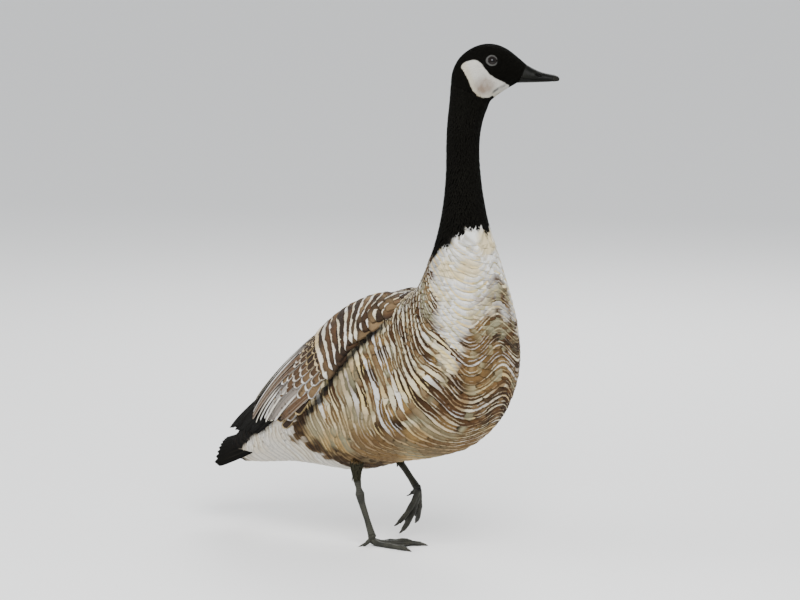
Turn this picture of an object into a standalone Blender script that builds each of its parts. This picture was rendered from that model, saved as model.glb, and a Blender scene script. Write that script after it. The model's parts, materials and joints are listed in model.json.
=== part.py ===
"""A life-size Canada goose, walking, with its head turned to its left.

Units are metres. +X is the way the body faces, +Y the bird's left and +Z up. The standing
foot rests on Z = 0. The flesh is one smooth loft from tail to bill, parted by thin cuts.
"""

import math
import random

import bmesh
import bpy
import numpy as np
from mathutils import Matrix, Vector
from mathutils.bvhtree import BVHTree

# Driving sizes
GAP = 0.0003  # between pieces that touch
HALF_GAP = GAP / 2
SIDES = 28  # corners of each body section
HEAD_TURN = math.radians(40)  # how far the head looks to the left of the body
NECK_AXIS_X = 0.143  # the upright line that the neck and head turn about
VANE_THICK = 0.0009  # a flight feather

# The body's sections, from the tail coverts to the base of the bill, as seen from the side
# before the head is turned: back x, back z, underside x, underside z, half width and how
# far up the section it is widest.
SECTIONS = (
    (-0.304, 0.146, -0.300, 0.098, 0.031, 0.50),
    (-0.262, 0.176, -0.252, 0.102, 0.045, 0.50),
    (-0.212, 0.216, -0.190, 0.110, 0.063, 0.50),
    (-0.160, 0.269, -0.127, 0.111, 0.084, 0.50),
    (-0.108, 0.324, -0.060, 0.1115, 0.098, 0.50),
    (-0.060, 0.361, 0.015, 0.1315, 0.105, 0.50),
    (-0.012, 0.382, 0.084, 0.1465, 0.107, 0.50),
    (0.030, 0.390, 0.140, 0.1670, 0.105, 0.50),
    (0.057, 0.399, 0.184, 0.208, 0.099, 0.50),
    (0.074, 0.416, 0.207, 0.260, 0.092, 0.50),
    (0.086, 0.441, 0.210, 0.316, 0.081, 0.50),
    (0.094, 0.468, 0.202, 0.370, 0.067, 0.50),
    (0.100, 0.495, 0.192, 0.418, 0.0535, 0.50),
    (0.104, 0.523, 0.181, 0.464, 0.0420, 0.50),
    (0.107, 0.553, 0.170, 0.512, 0.0325, 0.50),
    (0.109, 0.585, 0.162, 0.563, 0.0270, 0.50),
    (0.1095, 0.618, 0.159, 0.612, 0.0258, 0.50),
    (0.111, 0.650, 0.163, 0.649, 0.0268, 0.50),
    (0.1145, 0.684, 0.173, 0.679, 0.0285, 0.48),
    (0.1160, 0.706, 0.178, 0.686, 0.0292, 0.47),
    (0.1188, 0.727, 0.183, 0.6905, 0.0295, 0.46),
    (0.129, 0.747, 0.188, 0.694, 0.0290, 0.45),
    (0.1465, 0.761, 0.193, 0.6975, 0.0280, 0.45),
    (0.166, 0.7675, 0.198, 0.701, 0.0265, 0.46),
    (0.184, 0.7665, 0.203, 0.7038, 0.0240, 0.47),
    (0.200, 0.7595, 0.207, 0.706, 0.0205, 0.48),
    (0.214, 0.7487, 0.2105, 0.708, 0.0167, 0.49),
    (0.227, 0.7375, 0.2138, 0.710, 0.0130, 0.50),
)
TURN_STARTS, TURN_ENDS = 11.0, 18.0  # the sections between which the neck twists

# Where the flesh is parted, as section numbers
TAIL_CUT, NECK_CUT, HEAD_CUT = 2.0, 11.6, 18.3
LAST = len(SECTIONS) - 1

# The bill's sections: culmen x z, mouth line x z, underside x z, half width
BILL = (
    (0.227, 0.7375, 0.2195, 0.7180, 0.2138, 0.7100, 0.0130),
    (0.237, 0.7318, 0.2300, 0.7167, 0.226, 0.7103, 0.0123),
    (0.248, 0.7268, 0.2430, 0.7155, 0.240, 0.7107, 0.0112),
    (0.259, 0.7240, 0.2560, 0.7148, 0.2535, 0.7112, 0.0103),
    (0.2685, 0.7218, 0.2665, 0.7144, 0.2645, 0.7117, 0.0090),
    (0.274, 0.7192, 0.2725, 0.7139, 0.270, 0.7121, 0.0063),
    (0.2765, 0.7160, 0.2755, 0.7132, 0.2725, 0.7124, 0.0028),
)
NOSTRIL_X, NOSTRIL_Z = 0.245, 0.7222
NOSTRIL_LONG, NOSTRIL_HIGH, NOSTRIL_DEEP = 0.0048, 0.0019, 0.0030

# Eyes
EYE_X, EYE_Z = 0.1765, 0.7450
EYE_RADIUS = 0.0088
EYE_STANDS_OUT = 0.0028
LID_RADIUS, LID_THICK = 0.0077, 0.0014

# Colours, as red, green, blue, roughness
PAINT = {
    "brown_plumage": (0.23, 0.155, 0.095, 0.85),
    "black_plumage": (0.018, 0.017, 0.016, 0.7),
    "wing_plumage": (0.20, 0.13, 0.08, 0.8),
    "bill": (0.022, 0.022, 0.022, 0.4),
    "eye": (0.02, 0.012, 0.008, 0.1),
    "leg_skin": (0.045, 0.045, 0.036, 0.55),
    "claw": (0.02, 0.02, 0.018, 0.35),
}


PARTS, CUTTERS = "canada_goose", "cutters"  # collections


def clear_scene():
    for obj in list(bpy.data.objects):
        bpy.data.objects.remove(obj, do_unlink=True)


def collection(name):
    found = bpy.data.collections.get(name)
    if not found:
        found = bpy.data.collections.new(name)
        bpy.context.scene.collection.children.link(found)
    return found


def file_under(obj, name):
    """Moves an object to a collection."""
    for holder in list(obj.users_collection):
        holder.objects.unlink(obj)
    collection(name).objects.link(obj)


def material(name):
    found = bpy.data.materials.get(name)
    if found:
        return found
    red, green, blue, rough = PAINT[name]
    made = bpy.data.materials.new(name)
    made.use_nodes = True
    shader = made.node_tree.nodes["Principled BSDF"]
    shader.inputs["Base Color"].default_value = (red, green, blue, 1)
    shader.inputs["Roughness"].default_value = rough
    shader.inputs["Metallic"].default_value = 0
    made.diffuse_color = (red, green, blue, 1)
    return made


def add_mesh(name, points, faces):
    mesh = bpy.data.meshes.new(name)
    mesh.from_pydata([tuple(p) for p in points], [], faces)
    obj = bpy.data.objects.new(name, mesh)
    bpy.context.scene.collection.objects.link(obj)
    return obj


# Curves through tables of numbers


def along(table, t):
    """The row at position t of a table, on a smooth curve through all its rows."""
    rows = np.asarray(table, float)
    i = min(max(int(math.floor(t)), 0), len(rows) - 2)
    f = t - i
    before, a = rows[max(i - 1, 0)], rows[i]
    b, after = rows[i + 1], rows[min(i + 2, len(rows) - 1)]
    slope_a = (b - before) / (2 if i > 0 else 1)
    slope_b = (after - a) / (2 if i + 2 < len(rows) else 1)
    return (
        (2 * f**3 - 3 * f**2 + 1) * a
        + (f**3 - 2 * f**2 + f) * slope_a
        + (3 * f**2 - 2 * f**3) * b
        + (f**3 - f**2) * slope_b
    )


def ease(x):
    x = min(max(x, 0.0), 1.0)
    return x * x * (3 - 2 * x)


def turned(point, angle):
    """A point turned about the upright line through the neck."""
    x, y = point.x - NECK_AXIS_X, point.y
    c, s = math.cos(angle), math.sin(angle)
    return Vector((NECK_AXIS_X + x * c - y * s, x * s + y * c, point.z))


def turn_at(t):
    return HEAD_TURN * ease((t - TURN_STARTS) / (TURN_ENDS - TURN_STARTS))


# The body's surface


def body_point(t, angle):
    """A point of the body's surface: t along it, angle 0 at the back, pi underneath, and
    positive on the bird's left."""
    back_x, back_z, under_x, under_z, half, widest = along(SECTIONS, t)
    back, under = Vector((back_x, 0, back_z)), Vector((under_x, 0, under_z))
    centre = under.lerp(back, widest)
    c, s = math.cos(angle), math.sin(angle)
    reach = (back - centre) * c if c > 0 else (centre - under) * c
    return turned(centre + reach + Vector((0, half * s, 0)), turn_at(t))


def body_normal(t, angle):
    step = 0.02
    low, high = max(t - step, 0), min(t + step, LAST)
    ahead = body_point(high, angle) - body_point(low, angle)
    round_it = body_point(t, angle + step) - body_point(t, angle - step)
    return round_it.cross(ahead).normalized() * -1


def lifted(t, angle, height):
    return body_point(t, angle) + body_normal(t, angle) * height


def body_ring(t, grow=0.0):
    angles = [2 * math.pi * k / SIDES for k in range(SIDES)]
    return [lifted(t, a, grow) if grow else body_point(t, a) for a in angles]


def ring_normal(ring):
    """The way a flat ring faces, towards the head."""
    n = len(ring)
    across, height = ring[n // 4] - ring[3 * n // 4], ring[0] - ring[n // 2]
    return across.cross(height).normalized()


# Building blocks


def triangles_between(a, b, count):
    """Triangles that join a ring of corners starting at a with the next, starting at b."""
    faces = []
    for k in range(count):
        n = (k + 1) % count
        faces += [(a + k, a + n, b + n), (a + k, b + n, b + k)]
    return faces


def loft(name, rings):
    """A closed skin over rings with as many corners each, and flat ends."""
    count = len(rings[0])
    points = [p for ring in rings for p in ring]
    faces = []
    for i in range(len(rings) - 1):
        faces += triangles_between(i * count, (i + 1) * count, count)
    faces.append(tuple(reversed(range(count))))
    faces.append(tuple(range(len(points) - count, len(points))))
    obj = add_mesh(name, points, faces)
    face_outwards(obj)
    return obj


def face_outwards(obj):
    work = bmesh.new()
    work.from_mesh(obj.data)
    bmesh.ops.recalc_face_normals(work, faces=work.faces)
    if work.calc_volume(signed=True) < 0:
        bmesh.ops.reverse_faces(work, faces=work.faces)
    work.to_mesh(obj.data)
    work.free()


def limb(name, points, radii, sides=10, flat=1.0):
    """A tapering limb along points. flat squeezes it from above."""
    rings = []
    for i, p in enumerate(points):
        ahead = points[min(i + 1, len(points) - 1)] - points[max(i - 1, 0)]
        ahead.normalize()
        side = ahead.cross(Vector((0, 0, 1)))
        if side.length < 0.2:
            side = ahead.cross(Vector((1, 0, 0)))
        side.normalize()
        top = side.cross(ahead).normalized()
        ring = []
        for k in range(sides):
            a = 2 * math.pi * (k + 0.5) / sides
            ring.append(
                p + (side * math.cos(a) + top * math.sin(a) * flat) * radii[i]
            )
        rings.append(ring)
    return loft(name, rings)


def slab(name, grid, normals, thick):
    """A thin closed sheet over a grid of points, split alike on both faces."""
    rows, columns = len(grid), len(grid[0])
    top, under = [], []
    for r in range(rows):
        for c in range(columns):
            half = normals[r][c] * (thick[r][c] / 2)
            top.append(grid[r][c] + half)
            under.append(grid[r][c] - half)
    size = rows * columns
    faces = []
    for r in range(rows - 1):
        for c in range(columns - 1):
            a, b = r * columns + c, r * columns + c + 1
            d, e = a + columns, b + columns
            faces += [(a, b, e), (a, e, d)]
            faces += [(size + b, size + a, size + e), (size + e, size + a, size + d)]
    edge = [c for c in range(columns)]
    edge += [r * columns + columns - 1 for r in range(1, rows)]
    edge += [(rows - 1) * columns + c for c in range(columns - 2, -1, -1)]
    edge += [r * columns for r in range(rows - 2, 0, -1)]
    for k, a in enumerate(edge):
        b = edge[(k + 1) % len(edge)]
        faces += [(b, a, size + a), (b, size + a, size + b)]
    obj = add_mesh(name, top + under, faces)
    face_outwards(obj)
    return obj


# How wide a vane is from root to tip: share of length, share of full width
VANE_SHAPES = {
    "covert": ((0.0, 0.60), (0.50, 1.0), (0.84, 0.84), (1.0, 0.30)),
    "flight": ((0.0, 0.55), (0.34, 0.92), (0.70, 1.0), (0.92, 0.72), (1.0, 0.24)),
}
COVERT_ROLL, FLIGHT_ROLL = 0.11, 0.18  # how much a vane leans over the one below it


def vane(path, normal_at, width, shape, lean):
    """A feather's vane: path and normal_at take a share of its length. lean raises one
    edge over the neighbour."""
    grid, normals, thick = [], [], []
    for share, wide in VANE_SHAPES[shape]:
        here = path(share)
        step = 0.02
        ahead = path(min(share + step, 1.0)) - path(max(share - step, 0.0))
        normal = normal_at(share)
        side = (normal.cross(ahead).normalized() + normal * lean).normalized()
        half = side * (width * wide / 2)
        grid.append([here - half, here + half])
        normals.append([normal] * 2)
        thick.append([VANE_THICK] * 2)
    return slab("vane", grid, normals, thick)


def bent_path(root, middle, tip):
    """A smooth path through three points, as a function of a share from 0 to 1."""

    def at(share):
        control = middle * 2 - (root + tip) / 2
        return (
            root * (1 - share) ** 2
            + control * (2 * share * (1 - share))
            + tip * share**2
        )

    return at


# Joining and cutting


def apply_modifiers(obj):
    bpy.context.view_layer.update()
    graph = bpy.context.evaluated_depsgraph_get()
    mesh = bpy.data.meshes.new_from_object(obj.evaluated_get(graph))
    obj.modifiers.clear()
    obj.data = mesh


def keep_largest(obj):
    """Drops all but the largest closed surface of a mesh."""
    work = bmesh.new()
    work.from_mesh(obj.data)
    bmesh.ops.remove_doubles(work, verts=work.verts, dist=1e-7)
    left, islands = set(work.faces), []
    while left:
        stack, island = [left.pop()], []
        while stack:
            face = stack.pop()
            island.append(face)
            for edge in face.edges:
                for other in edge.link_faces:
                    if other in left:
                        left.remove(other)
                        stack.append(other)
        islands.append(island)
    islands.sort(key=lambda faces: -sum(f.calc_area() for f in faces))
    loose = [f for island in islands[1:] for f in island]
    bmesh.ops.delete(work, geom=loose, context="FACES")
    work.to_mesh(obj.data)
    work.free()


def fuse(name, pieces, cutters, paint):
    """Joins pieces into one closed body called name, and cuts the cutters from it."""
    base = pieces[0]
    if len(pieces) > 1:
        joined = collection(name + "_pieces")
        for piece in pieces[1:]:
            joined.objects.link(piece)
        union = base.modifiers.new("union", "BOOLEAN")
        union.operation, union.operand_type = "UNION", "COLLECTION"
        union.collection, union.solver = joined, "MANIFOLD"
        apply_modifiers(base)
        for piece in pieces[1:]:
            bpy.data.objects.remove(piece, do_unlink=True)
        bpy.data.collections.remove(joined)
    for cutter in cutters:
        cut = base.modifiers.new("cut", "BOOLEAN")
        cut.operation, cut.object, cut.solver = "DIFFERENCE", cutter, "MANIFOLD"
        apply_modifiers(base)
    keep_largest(base)
    base.name = name
    base.data.name = name
    base.data.materials.clear()
    base.data.materials.append(material(paint))
    file_under(base, PARTS)
    return base


def as_cutter(obj):
    obj.hide_render = True
    obj.display_type = "WIRE"
    file_under(obj, CUTTERS)
    return obj


# Flesh


TAIL_RINGS, TORSO_RINGS, NECK_RINGS, HEAD_RINGS = 2, 1.8, 1.6, 1.7  # per section
CLEAR = 0.0004  # what lies on the flesh is cut this far off its true surface


def body_rings(first, last, per_section):
    """Section positions from first to last."""
    steps = max(2, round((last - first) * per_section))
    return [first + (last - first) * i / steps for i in range(steps + 1)]


def flesh(name, places, open_first, open_last, grow=0.0):
    """The stretch of the body at a list of places. An end that is cut stands back by half
    the gap."""
    rings = [body_ring(t, grow) for t in places]
    if open_first:
        back = ring_normal(rings[0]) * (HALF_GAP - grow)
        rings[0] = [p + back for p in rings[0]]
    if open_last:
        back = ring_normal(rings[-1]) * (grow - HALF_GAP)
        rings[-1] = [p + back for p in rings[-1]]
    return loft(name, rings)


TAIL_PLACES = body_rings(0, TAIL_CUT, TAIL_RINGS)
TORSO_PLACES = body_rings(TAIL_CUT, NECK_CUT, TORSO_RINGS)


def make_flesh():
    torso = flesh("torso", TORSO_PLACES, True, True)
    neck = flesh("neck", body_rings(NECK_CUT, HEAD_CUT, NECK_RINGS), True, True)
    return torso, neck


def make_cutters():
    """Slightly larger copies of the flesh, for what lies on it."""
    torso = flesh("torso_cutter", TORSO_PLACES, True, True, CLEAR)
    body = flesh("body_cutter", TAIL_PLACES + TORSO_PLACES[1:], False, True, CLEAR)
    return as_cutter(torso), as_cutter(body)


# Head


def side_hit(tree, x, z, side):
    """Where a line from the side meets a mesh: at x, z before the head's turn."""
    far = turned(Vector((x, side * 0.2, z)), HEAD_TURN)
    near = turned(Vector((x, 0, z)), HEAD_TURN)
    hit, normal, _, _ = tree.ray_cast(far, (near - far).normalized())
    return hit, normal


def ball(name, centre, radius, segments=16, rings=8):
    work = bmesh.new()
    bmesh.ops.create_uvsphere(work, u_segments=segments, v_segments=rings, radius=radius)
    bmesh.ops.translate(work, verts=work.verts, vec=centre)
    mesh = bpy.data.meshes.new(name)
    work.to_mesh(mesh)
    work.free()
    obj = bpy.data.objects.new(name, mesh)
    bpy.context.scene.collection.objects.link(obj)
    return obj


def lid_ring(name, centre, normal):
    """The rim of the lids round an eye."""
    bpy.ops.mesh.primitive_torus_add(
        major_radius=LID_RADIUS,
        minor_radius=LID_THICK,
        major_segments=16,
        minor_segments=5,
        location=centre,
        rotation=normal.to_track_quat("Z", "Y").to_euler(),
    )
    obj = bpy.context.active_object
    obj.name = name
    obj.data.transform(obj.matrix_world)
    obj.matrix_world = Matrix.Identity(4)
    return obj


def make_head():
    head = flesh("head", body_rings(HEAD_CUT, LAST, HEAD_RINGS), True, True)
    tree = BVHTree.FromObject(head, bpy.context.evaluated_depsgraph_get())
    lids, sockets = [], []
    for side, word in ((1, "left"), (-1, "right")):
        hit, normal = side_hit(tree, EYE_X, EYE_Z, side)
        lids.append(lid_ring("lid_" + word, hit, normal))
        centre = hit + normal * (EYE_STANDS_OUT - EYE_RADIUS)
        eye = ball("eye_" + word, centre, EYE_RADIUS)
        eye.data.materials.append(material("eye"))
        eye.data.shade_smooth()
        file_under(eye, PARTS)
        sockets.append(as_cutter(ball("socket_" + word, centre, EYE_RADIUS + GAP)))
    return fuse("head", [head] + lids, sockets, "black_plumage")


def bill_ring(row, upper, sides=12):
    """Half a section of the bill: above the mouth line, or below it."""
    culmen_x, culmen_z, mouth_x, mouth_z, under_x, under_z, half = row
    mouth = Vector((mouth_x, 0, mouth_z))
    far = Vector((culmen_x, 0, culmen_z)) if upper else Vector((under_x, 0, under_z))
    gap = (far - mouth).normalized() * HALF_GAP
    half = half if upper else half * 0.93
    ring = []
    for k in range(sides + 1):
        a = math.pi * k / sides
        rise = math.sin(a) ** 0.8
        point = mouth + gap + (far - mouth - gap) * rise
        ring.append(point + Vector((0, half * math.cos(a), 0)))
    return [turned(p, HEAD_TURN) for p in ring]


def make_bill():
    ahead = turned(Vector((NECK_AXIS_X + 1, 0, 0)), HEAD_TURN) - turned(
        Vector((NECK_AXIS_X, 0, 0)), HEAD_TURN
    )
    made = []
    for name, upper in (("bill_upper", True), ("bill_lower", False)):
        steps = 9
        rows = [along(BILL, (len(BILL) - 1) * i / steps) for i in range(steps + 1)]
        rings = [bill_ring(row, upper) for row in rows]
        rings[0] = [p + ahead * GAP for p in rings[0]]
        made.append(loft(name, rings))
    upper, lower = made
    tree = BVHTree.FromObject(upper, bpy.context.evaluated_depsgraph_get())
    pits = []
    for side in (1, -1):
        hit, normal = side_hit(tree, NOSTRIL_X, NOSTRIL_Z, side)
        pit = ball("nostril", Vector((0, 0, 0)), 1.0, 12, 8)
        scale = Matrix.Diagonal((NOSTRIL_LONG, NOSTRIL_DEEP, NOSTRIL_HIGH, 1))
        spin = Matrix.Rotation(HEAD_TURN, 4, "Z") @ Matrix.Rotation(0.35, 4, "Y")
        pit.data.transform(Matrix.Translation(hit) @ spin @ scale)
        pits.append(as_cutter(pit))
    upper = fuse("bill_upper", [upper], pits, "bill")
    lower = fuse("bill_lower", [lower], (), "bill")
    return upper, lower


# Wings

WING_REAR, WING_FRONT = 1.9, 7.4  # section numbers
WING_TOP = math.radians(9)
# The wing's lower edge: how far down the body's side it reaches, in degrees from the back,
# at section numbers 1 to 8
WING_LOWER = (92, 102, 100, 89, 74, 58, 44, 32)
WING_THICK = 0.011
CORE_SUNK = 0.004  # how far the wing's core reaches into the body before it is cut
CORE_COLUMNS = 8


def wing_lower(t):
    return math.radians(float(along([(d,) for d in WING_LOWER], t - 1)[0]))


def wing_height(t, share):
    """How high the wing stands over the body, at a share of its width from its top."""
    lengthways = ease((t - WING_REAR + 0.4) / 1.6) * ease((WING_FRONT - t + 0.1) / 1.2)
    across = max(0.0, 1 - abs(2 * share - 1) ** 2.6)
    return 0.0018 + WING_THICK * lengthways * across


def wing_spot(t, share, side, height):
    """A point over the wing: share 0 is its top edge and 1 its lower edge."""
    low = wing_lower(t)
    angle = WING_TOP + (low - WING_TOP) * share
    return lifted(t, side * angle, wing_height(t, share) + height)


def wing_normal(t, share, side):
    step_t, step_s = 0.05, 0.03
    ahead = wing_spot(t + step_t, share, side, 0) - wing_spot(t - step_t, share, side, 0)
    down = wing_spot(t, share + step_s, side, 0) - wing_spot(t, share - step_s, side, 0)
    return down.cross(ahead).normalized() * -side


def wing_core(side):
    rings = []
    for t in body_rings(WING_REAR, WING_FRONT, 2):
        shares = [k / CORE_COLUMNS for k in range(CORE_COLUMNS + 1)]
        outer = [wing_spot(t, share, side, 0) for share in shares]
        inner = []
        for share in reversed(shares):
            angle = WING_TOP + (wing_lower(t) - WING_TOP) * share
            inner.append(lifted(t, side * angle, -CORE_SUNK))
        rings.append(outer + inner)
    return loft("wing_core", rings)


# Rows of wing coverts, from the rear: section number of the roots, first and last share
# down the wing, how many, how many sections long, and how wide in metres
COVERT_ROWS = (
    (4.3, 0.14, 0.90, 5, 1.6, 0.036),
    (5.4, 0.12, 0.92, 5, 1.6, 0.037),
    (6.5, 0.14, 0.90, 5, 1.6, 0.037),
)
COVERT_ROOT, COVERT_TIP = -0.0022, 0.0026  # height over the wing's core


def covert(t, share, side, long, wide):
    """A covert laid on the wing's surface."""

    def path(s):
        height = COVERT_ROOT + (COVERT_TIP - COVERT_ROOT) * s
        return wing_spot(t - long * s, share, side, height)

    def normal(s):
        return wing_normal(t - long * s, share, side)

    return vane(path, normal, wide, "covert", -side * COVERT_ROLL)


# Long wing feathers. Roots are section number and share down the wing. Tips are x, y, z on
# the left wing. The first of a row lies over the next.
PRIMARIES = dict(
    count=6,
    first_root=(2.75, 0.40),
    last_root=(2.75, 0.78),
    first_tip=(-0.318, 0.010, 0.152),
    last_tip=(-0.258, 0.046, 0.153),
    wide=0.018,
    root_height=-0.0035,
    bow=0.003,
)
SECONDARIES = dict(
    count=6,
    first_root=(3.2, 0.52),
    last_root=(4.1, 0.93),
    first_tip=(-0.246, 0.060, 0.176),
    last_tip=(-0.160, 0.093, 0.192),
    wide=0.022,
    root_height=-0.0025,
    bow=0.006,
)
TERTIALS = dict(
    count=4,
    first_root=(3.9, 0.10),
    last_root=(3.7, 0.50),
    first_tip=(-0.250, 0.018, 0.198),
    last_tip=(-0.238, 0.060, 0.188),
    wide=0.031,
    root_height=-0.0015,
    bow=0.0065,
)
TIP_VARIES = 0.003  # how far a feather's tip strays


def long_feathers(side, row, rng):
    """A row of long feathers from the wing to stated tips."""
    made = []
    count = row["count"]
    for i in range(count):
        f = i / (count - 1)
        t = row["first_root"][0] * (1 - f) + row["last_root"][0] * f
        share = row["first_root"][1] * (1 - f) + row["last_root"][1] * f
        root = wing_spot(t, share, side, row["root_height"])
        normal = wing_normal(t, share, side)
        tip = Vector(row["first_tip"]).lerp(Vector(row["last_tip"]), f)
        tip.y *= side
        tip += (tip - root).normalized() * rng.uniform(-TIP_VARIES, TIP_VARIES)
        path = bent_path(root, (root + tip) / 2 + normal * row["bow"], tip)
        lean = -side * FLIGHT_ROLL
        made.append(vane(path, lambda s, n=normal: n, row["wide"], "flight", lean))
    return made


def make_wing(word, side, body_cutter):
    rng = random.Random(11 + side)
    pieces = [wing_core(side)]
    for row in (PRIMARIES, SECONDARIES, TERTIALS):
        pieces += long_feathers(side, row, rng)
    for t, first, last, count, long, wide in COVERT_ROWS:
        for i in range(count):
            share = first + (last - first) * i / (count - 1)
            length = long * rng.uniform(0.95, 1.05)
            pieces.append(covert(t, share, side, length, wide))
    return fuse("wing_" + word, pieces, [body_cutter], "wing_plumage")


# Tail

TAIL_FEATHERS = 12
TAIL_ROOT = (-0.226, 0.0, 0.165)
TAIL_TIP = (-0.338, 0.0, 0.134)
TAIL_ROOT_SPREAD, TAIL_TIP_SPREAD = 0.030, 0.044
TAIL_ROOT_DROOP, TAIL_TIP_DROOP = 0.022, 0.032  # how much lower the outermost are
TAIL_SHORTER = 0.016  # how much shorter the outermost feathers are
TAIL_WIDE = 0.021
TAIL_STACK = 0.0011  # each feather lies this much under the one above it
TAIL_TOP = 5.0  # the feather on top
TAIL_LEAN = 0.62


def make_tail(torso_cutter):
    rng = random.Random(5)
    pieces = [flesh("tail", TAIL_PLACES, False, True)]
    for i in range(TAIL_FEATHERS):
        f = 2 * i / (TAIL_FEATHERS - 1) - 1
        root = Vector(TAIL_ROOT) + Vector((0, f * TAIL_ROOT_SPREAD, -TAIL_ROOT_DROOP * f * f))
        tip = Vector(TAIL_TIP) + Vector((TAIL_SHORTER * f * f, f * TAIL_TIP_SPREAD, 0))
        tip.z -= TAIL_TIP_DROOP * f * f
        tip.x += rng.uniform(-TIP_VARIES, TIP_VARIES) / 2
        lower = Vector((0, 0, -TAIL_STACK * abs(i - TAIL_TOP)))
        normal = Vector((0.28, TAIL_LEAN * f, 1)).normalized()
        path = bent_path(root + lower, (root + tip) / 2 + lower, tip + lower)
        pieces.append(vane(path, lambda s, n=normal: n, TAIL_WIDE, "flight", 0))
    return fuse("tail", pieces, [torso_cutter], "black_plumage")


# Legs. Each list runs down the leg, and radii go with its points.

STANDING_THIGH = (
    ((-0.026, -0.050, 0.190), 0.036),
    ((-0.031, -0.052, 0.150), 0.026),
    ((-0.036, -0.048, 0.125), 0.0118),
    ((-0.0378, -0.0435, 0.109), 0.0072),
)
STANDING_SHANK = (
    ((-0.0372, -0.0412, 0.096), 0.0054),
    ((-0.0358, -0.0385, 0.081), 0.0072),
    ((-0.0350, -0.0345, 0.066), 0.0052),
    ((-0.0300, -0.0290, 0.042), 0.0046),
    ((-0.0272, -0.0243, 0.024), 0.0054),
    ((-0.0265, -0.0225, 0.018), 0.0060),
)
RAISED_THIGH = (
    ((-0.004, 0.050, 0.182), 0.033),
    ((-0.019, 0.051, 0.157), 0.024),
    ((-0.028, 0.050, 0.140), 0.0150),
    ((-0.0312, 0.0487, 0.1285), 0.0098),
    ((-0.0293, 0.0478, 0.1212), 0.0072),
)
RAISED_SHANK = (
    ((-0.0180, 0.0468, 0.1090), 0.0050),
    ((-0.0057, 0.046, 0.0965), 0.0049),
    ((0.0040, 0.046, 0.0858), 0.0060),
)
SHANK_TOP = 0.0056  # radius where the bare shank leaves the thigh's feathers
STANDING_HEADING = math.radians(40)
# Toes: name, length, spread to the bird's right in degrees, starting radius
TOES = (
    ("inner", 0.060, -27, 0.0052),
    ("middle", 0.074, 1, 0.0056),
    ("outer", 0.067, 40, 0.0052),
    ("hind", 0.016, 155, 0.0038),
)
HIND_ROOT_Z = 0.014
TOE_PADS = (1.0, 0.92, 0.80, 0.90, 0.72, 0.80, 0.64)  # swellings along a toe
TOE_SIDES = 10
SOLE_SUNK = 0.80  # a toe's centre stands this share of its radius over the floor
CLAW_LONG, CLAW_WIDE = 0.0095, 0.0030
WEB_THICK = 0.0012
WEB_SPAN = (0.10, 0.90)  # how much of each toe the web joins


def points_and_radii(rows):
    return [Vector(p) for p, _ in rows], [r for _, r in rows]


def heading_vectors(heading, side):
    """The way a foot points, and its outer side."""
    ahead = Vector((math.cos(heading), math.sin(heading), 0))
    return ahead, Vector((ahead.y, -ahead.x, 0)) * (1 if side < 0 else -1)


def standing_toe(toe, knuckle, side):
    """A toe's points and radii on the floor."""
    name, long, spread, radius = toe
    ahead, outward = heading_vectors(STANDING_HEADING, side)
    angle = math.radians(spread)
    way = ahead * math.cos(angle) + outward * math.sin(angle)
    last = len(TOE_PADS) - 1
    points, radii = [], []
    for i, swell in enumerate(TOE_PADS):
        share = i / last
        r = radius * swell
        height = r * SOLE_SUNK
        if name == "hind":
            height = max(height, HIND_ROOT_Z * (1 - share) ** 1.2)
        elif i == 0:
            height = knuckle.z * 0.62
        point = Vector((knuckle.x, knuckle.y, 0)) + way * (long * share)
        points.append(point + Vector((0, 0, height)))
        radii.append(r)
    return points, radii


RAISED_SPREAD = 0.60  # the hanging foot is this share as spread as the standing one
RAISED_AIM, RAISED_CURL = math.radians(-112), math.radians(34)


def hanging_toe(toe, knuckle, side):
    """A toe of the raised foot, which hangs down and back with the web folded."""
    name, long, spread, radius = toe
    aim, curl = RAISED_AIM, RAISED_CURL
    angle = math.radians(spread * RAISED_SPREAD)
    if name == "hind":
        aim, curl, angle = math.radians(-152), math.radians(-24), 0.0
    last = len(TOE_PADS) - 1
    points, radii = [knuckle.copy()], [radius * TOE_PADS[0]]
    for i in range(1, len(TOE_PADS)):
        share = i / last
        pitch = aim + curl * (0.5 - share)
        way = Vector((math.cos(pitch), 0, math.sin(pitch))) * math.cos(angle)
        way.y = side * math.sin(angle)
        points.append(points[-1] + way * (long / last))
        radii.append(radius * TOE_PADS[i])
    return points, radii


def toe_claw(name, points, radii, lift):
    """The claw beyond the end of a toe."""
    end, before = points[-1], points[-2]
    way = (end - before).normalized()
    start = end + way * GAP
    size = min(CLAW_WIDE, radii[-1] * 0.86)
    path, claw_radii = [], []
    for i in range(5):
        share = i / 4
        path.append(start + way * (CLAW_LONG * share) - lift * (0.0022 * share**2))
        claw_radii.append(size * (1 - 0.78 * share**1.3))
    return limb(name, path, claw_radii, 8)


def flatten_sole(obj):
    """Presses what reaches below the floor up to it, as small flats."""
    for vertex in obj.data.vertices:
        if vertex.co.z < 0:
            vertex.co.z = 0


def web_between(first, second, way_up, folds):
    """The skin between two toes, given as their points."""
    rows, columns = 6, 5
    grid, normals, thick = [], [], []
    low, high = WEB_SPAN
    for r in range(rows):
        share = low + (high - low) * r / (rows - 1)
        a, b = along(first, share * 6), along(second, share * 6)
        line, row_normals = [], []
        for c in range(columns):
            f = c / (columns - 1)
            scoop = 4 * f * (1 - f)
            inner = share * (1 - 0.13 * scoop * (share - low) / (high - low))
            a_in, b_in = along(first, inner * 6), along(second, inner * 6)
            point = Vector(a_in).lerp(Vector(b_in), f)
            point += way_up * (folds * scoop * share)
            line.append(point)
            row_normals.append(way_up)
        grid.append(line)
        normals.append(row_normals)
        thick.append([WEB_THICK] * columns)
    return slab("web", grid, normals, thick)


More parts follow.
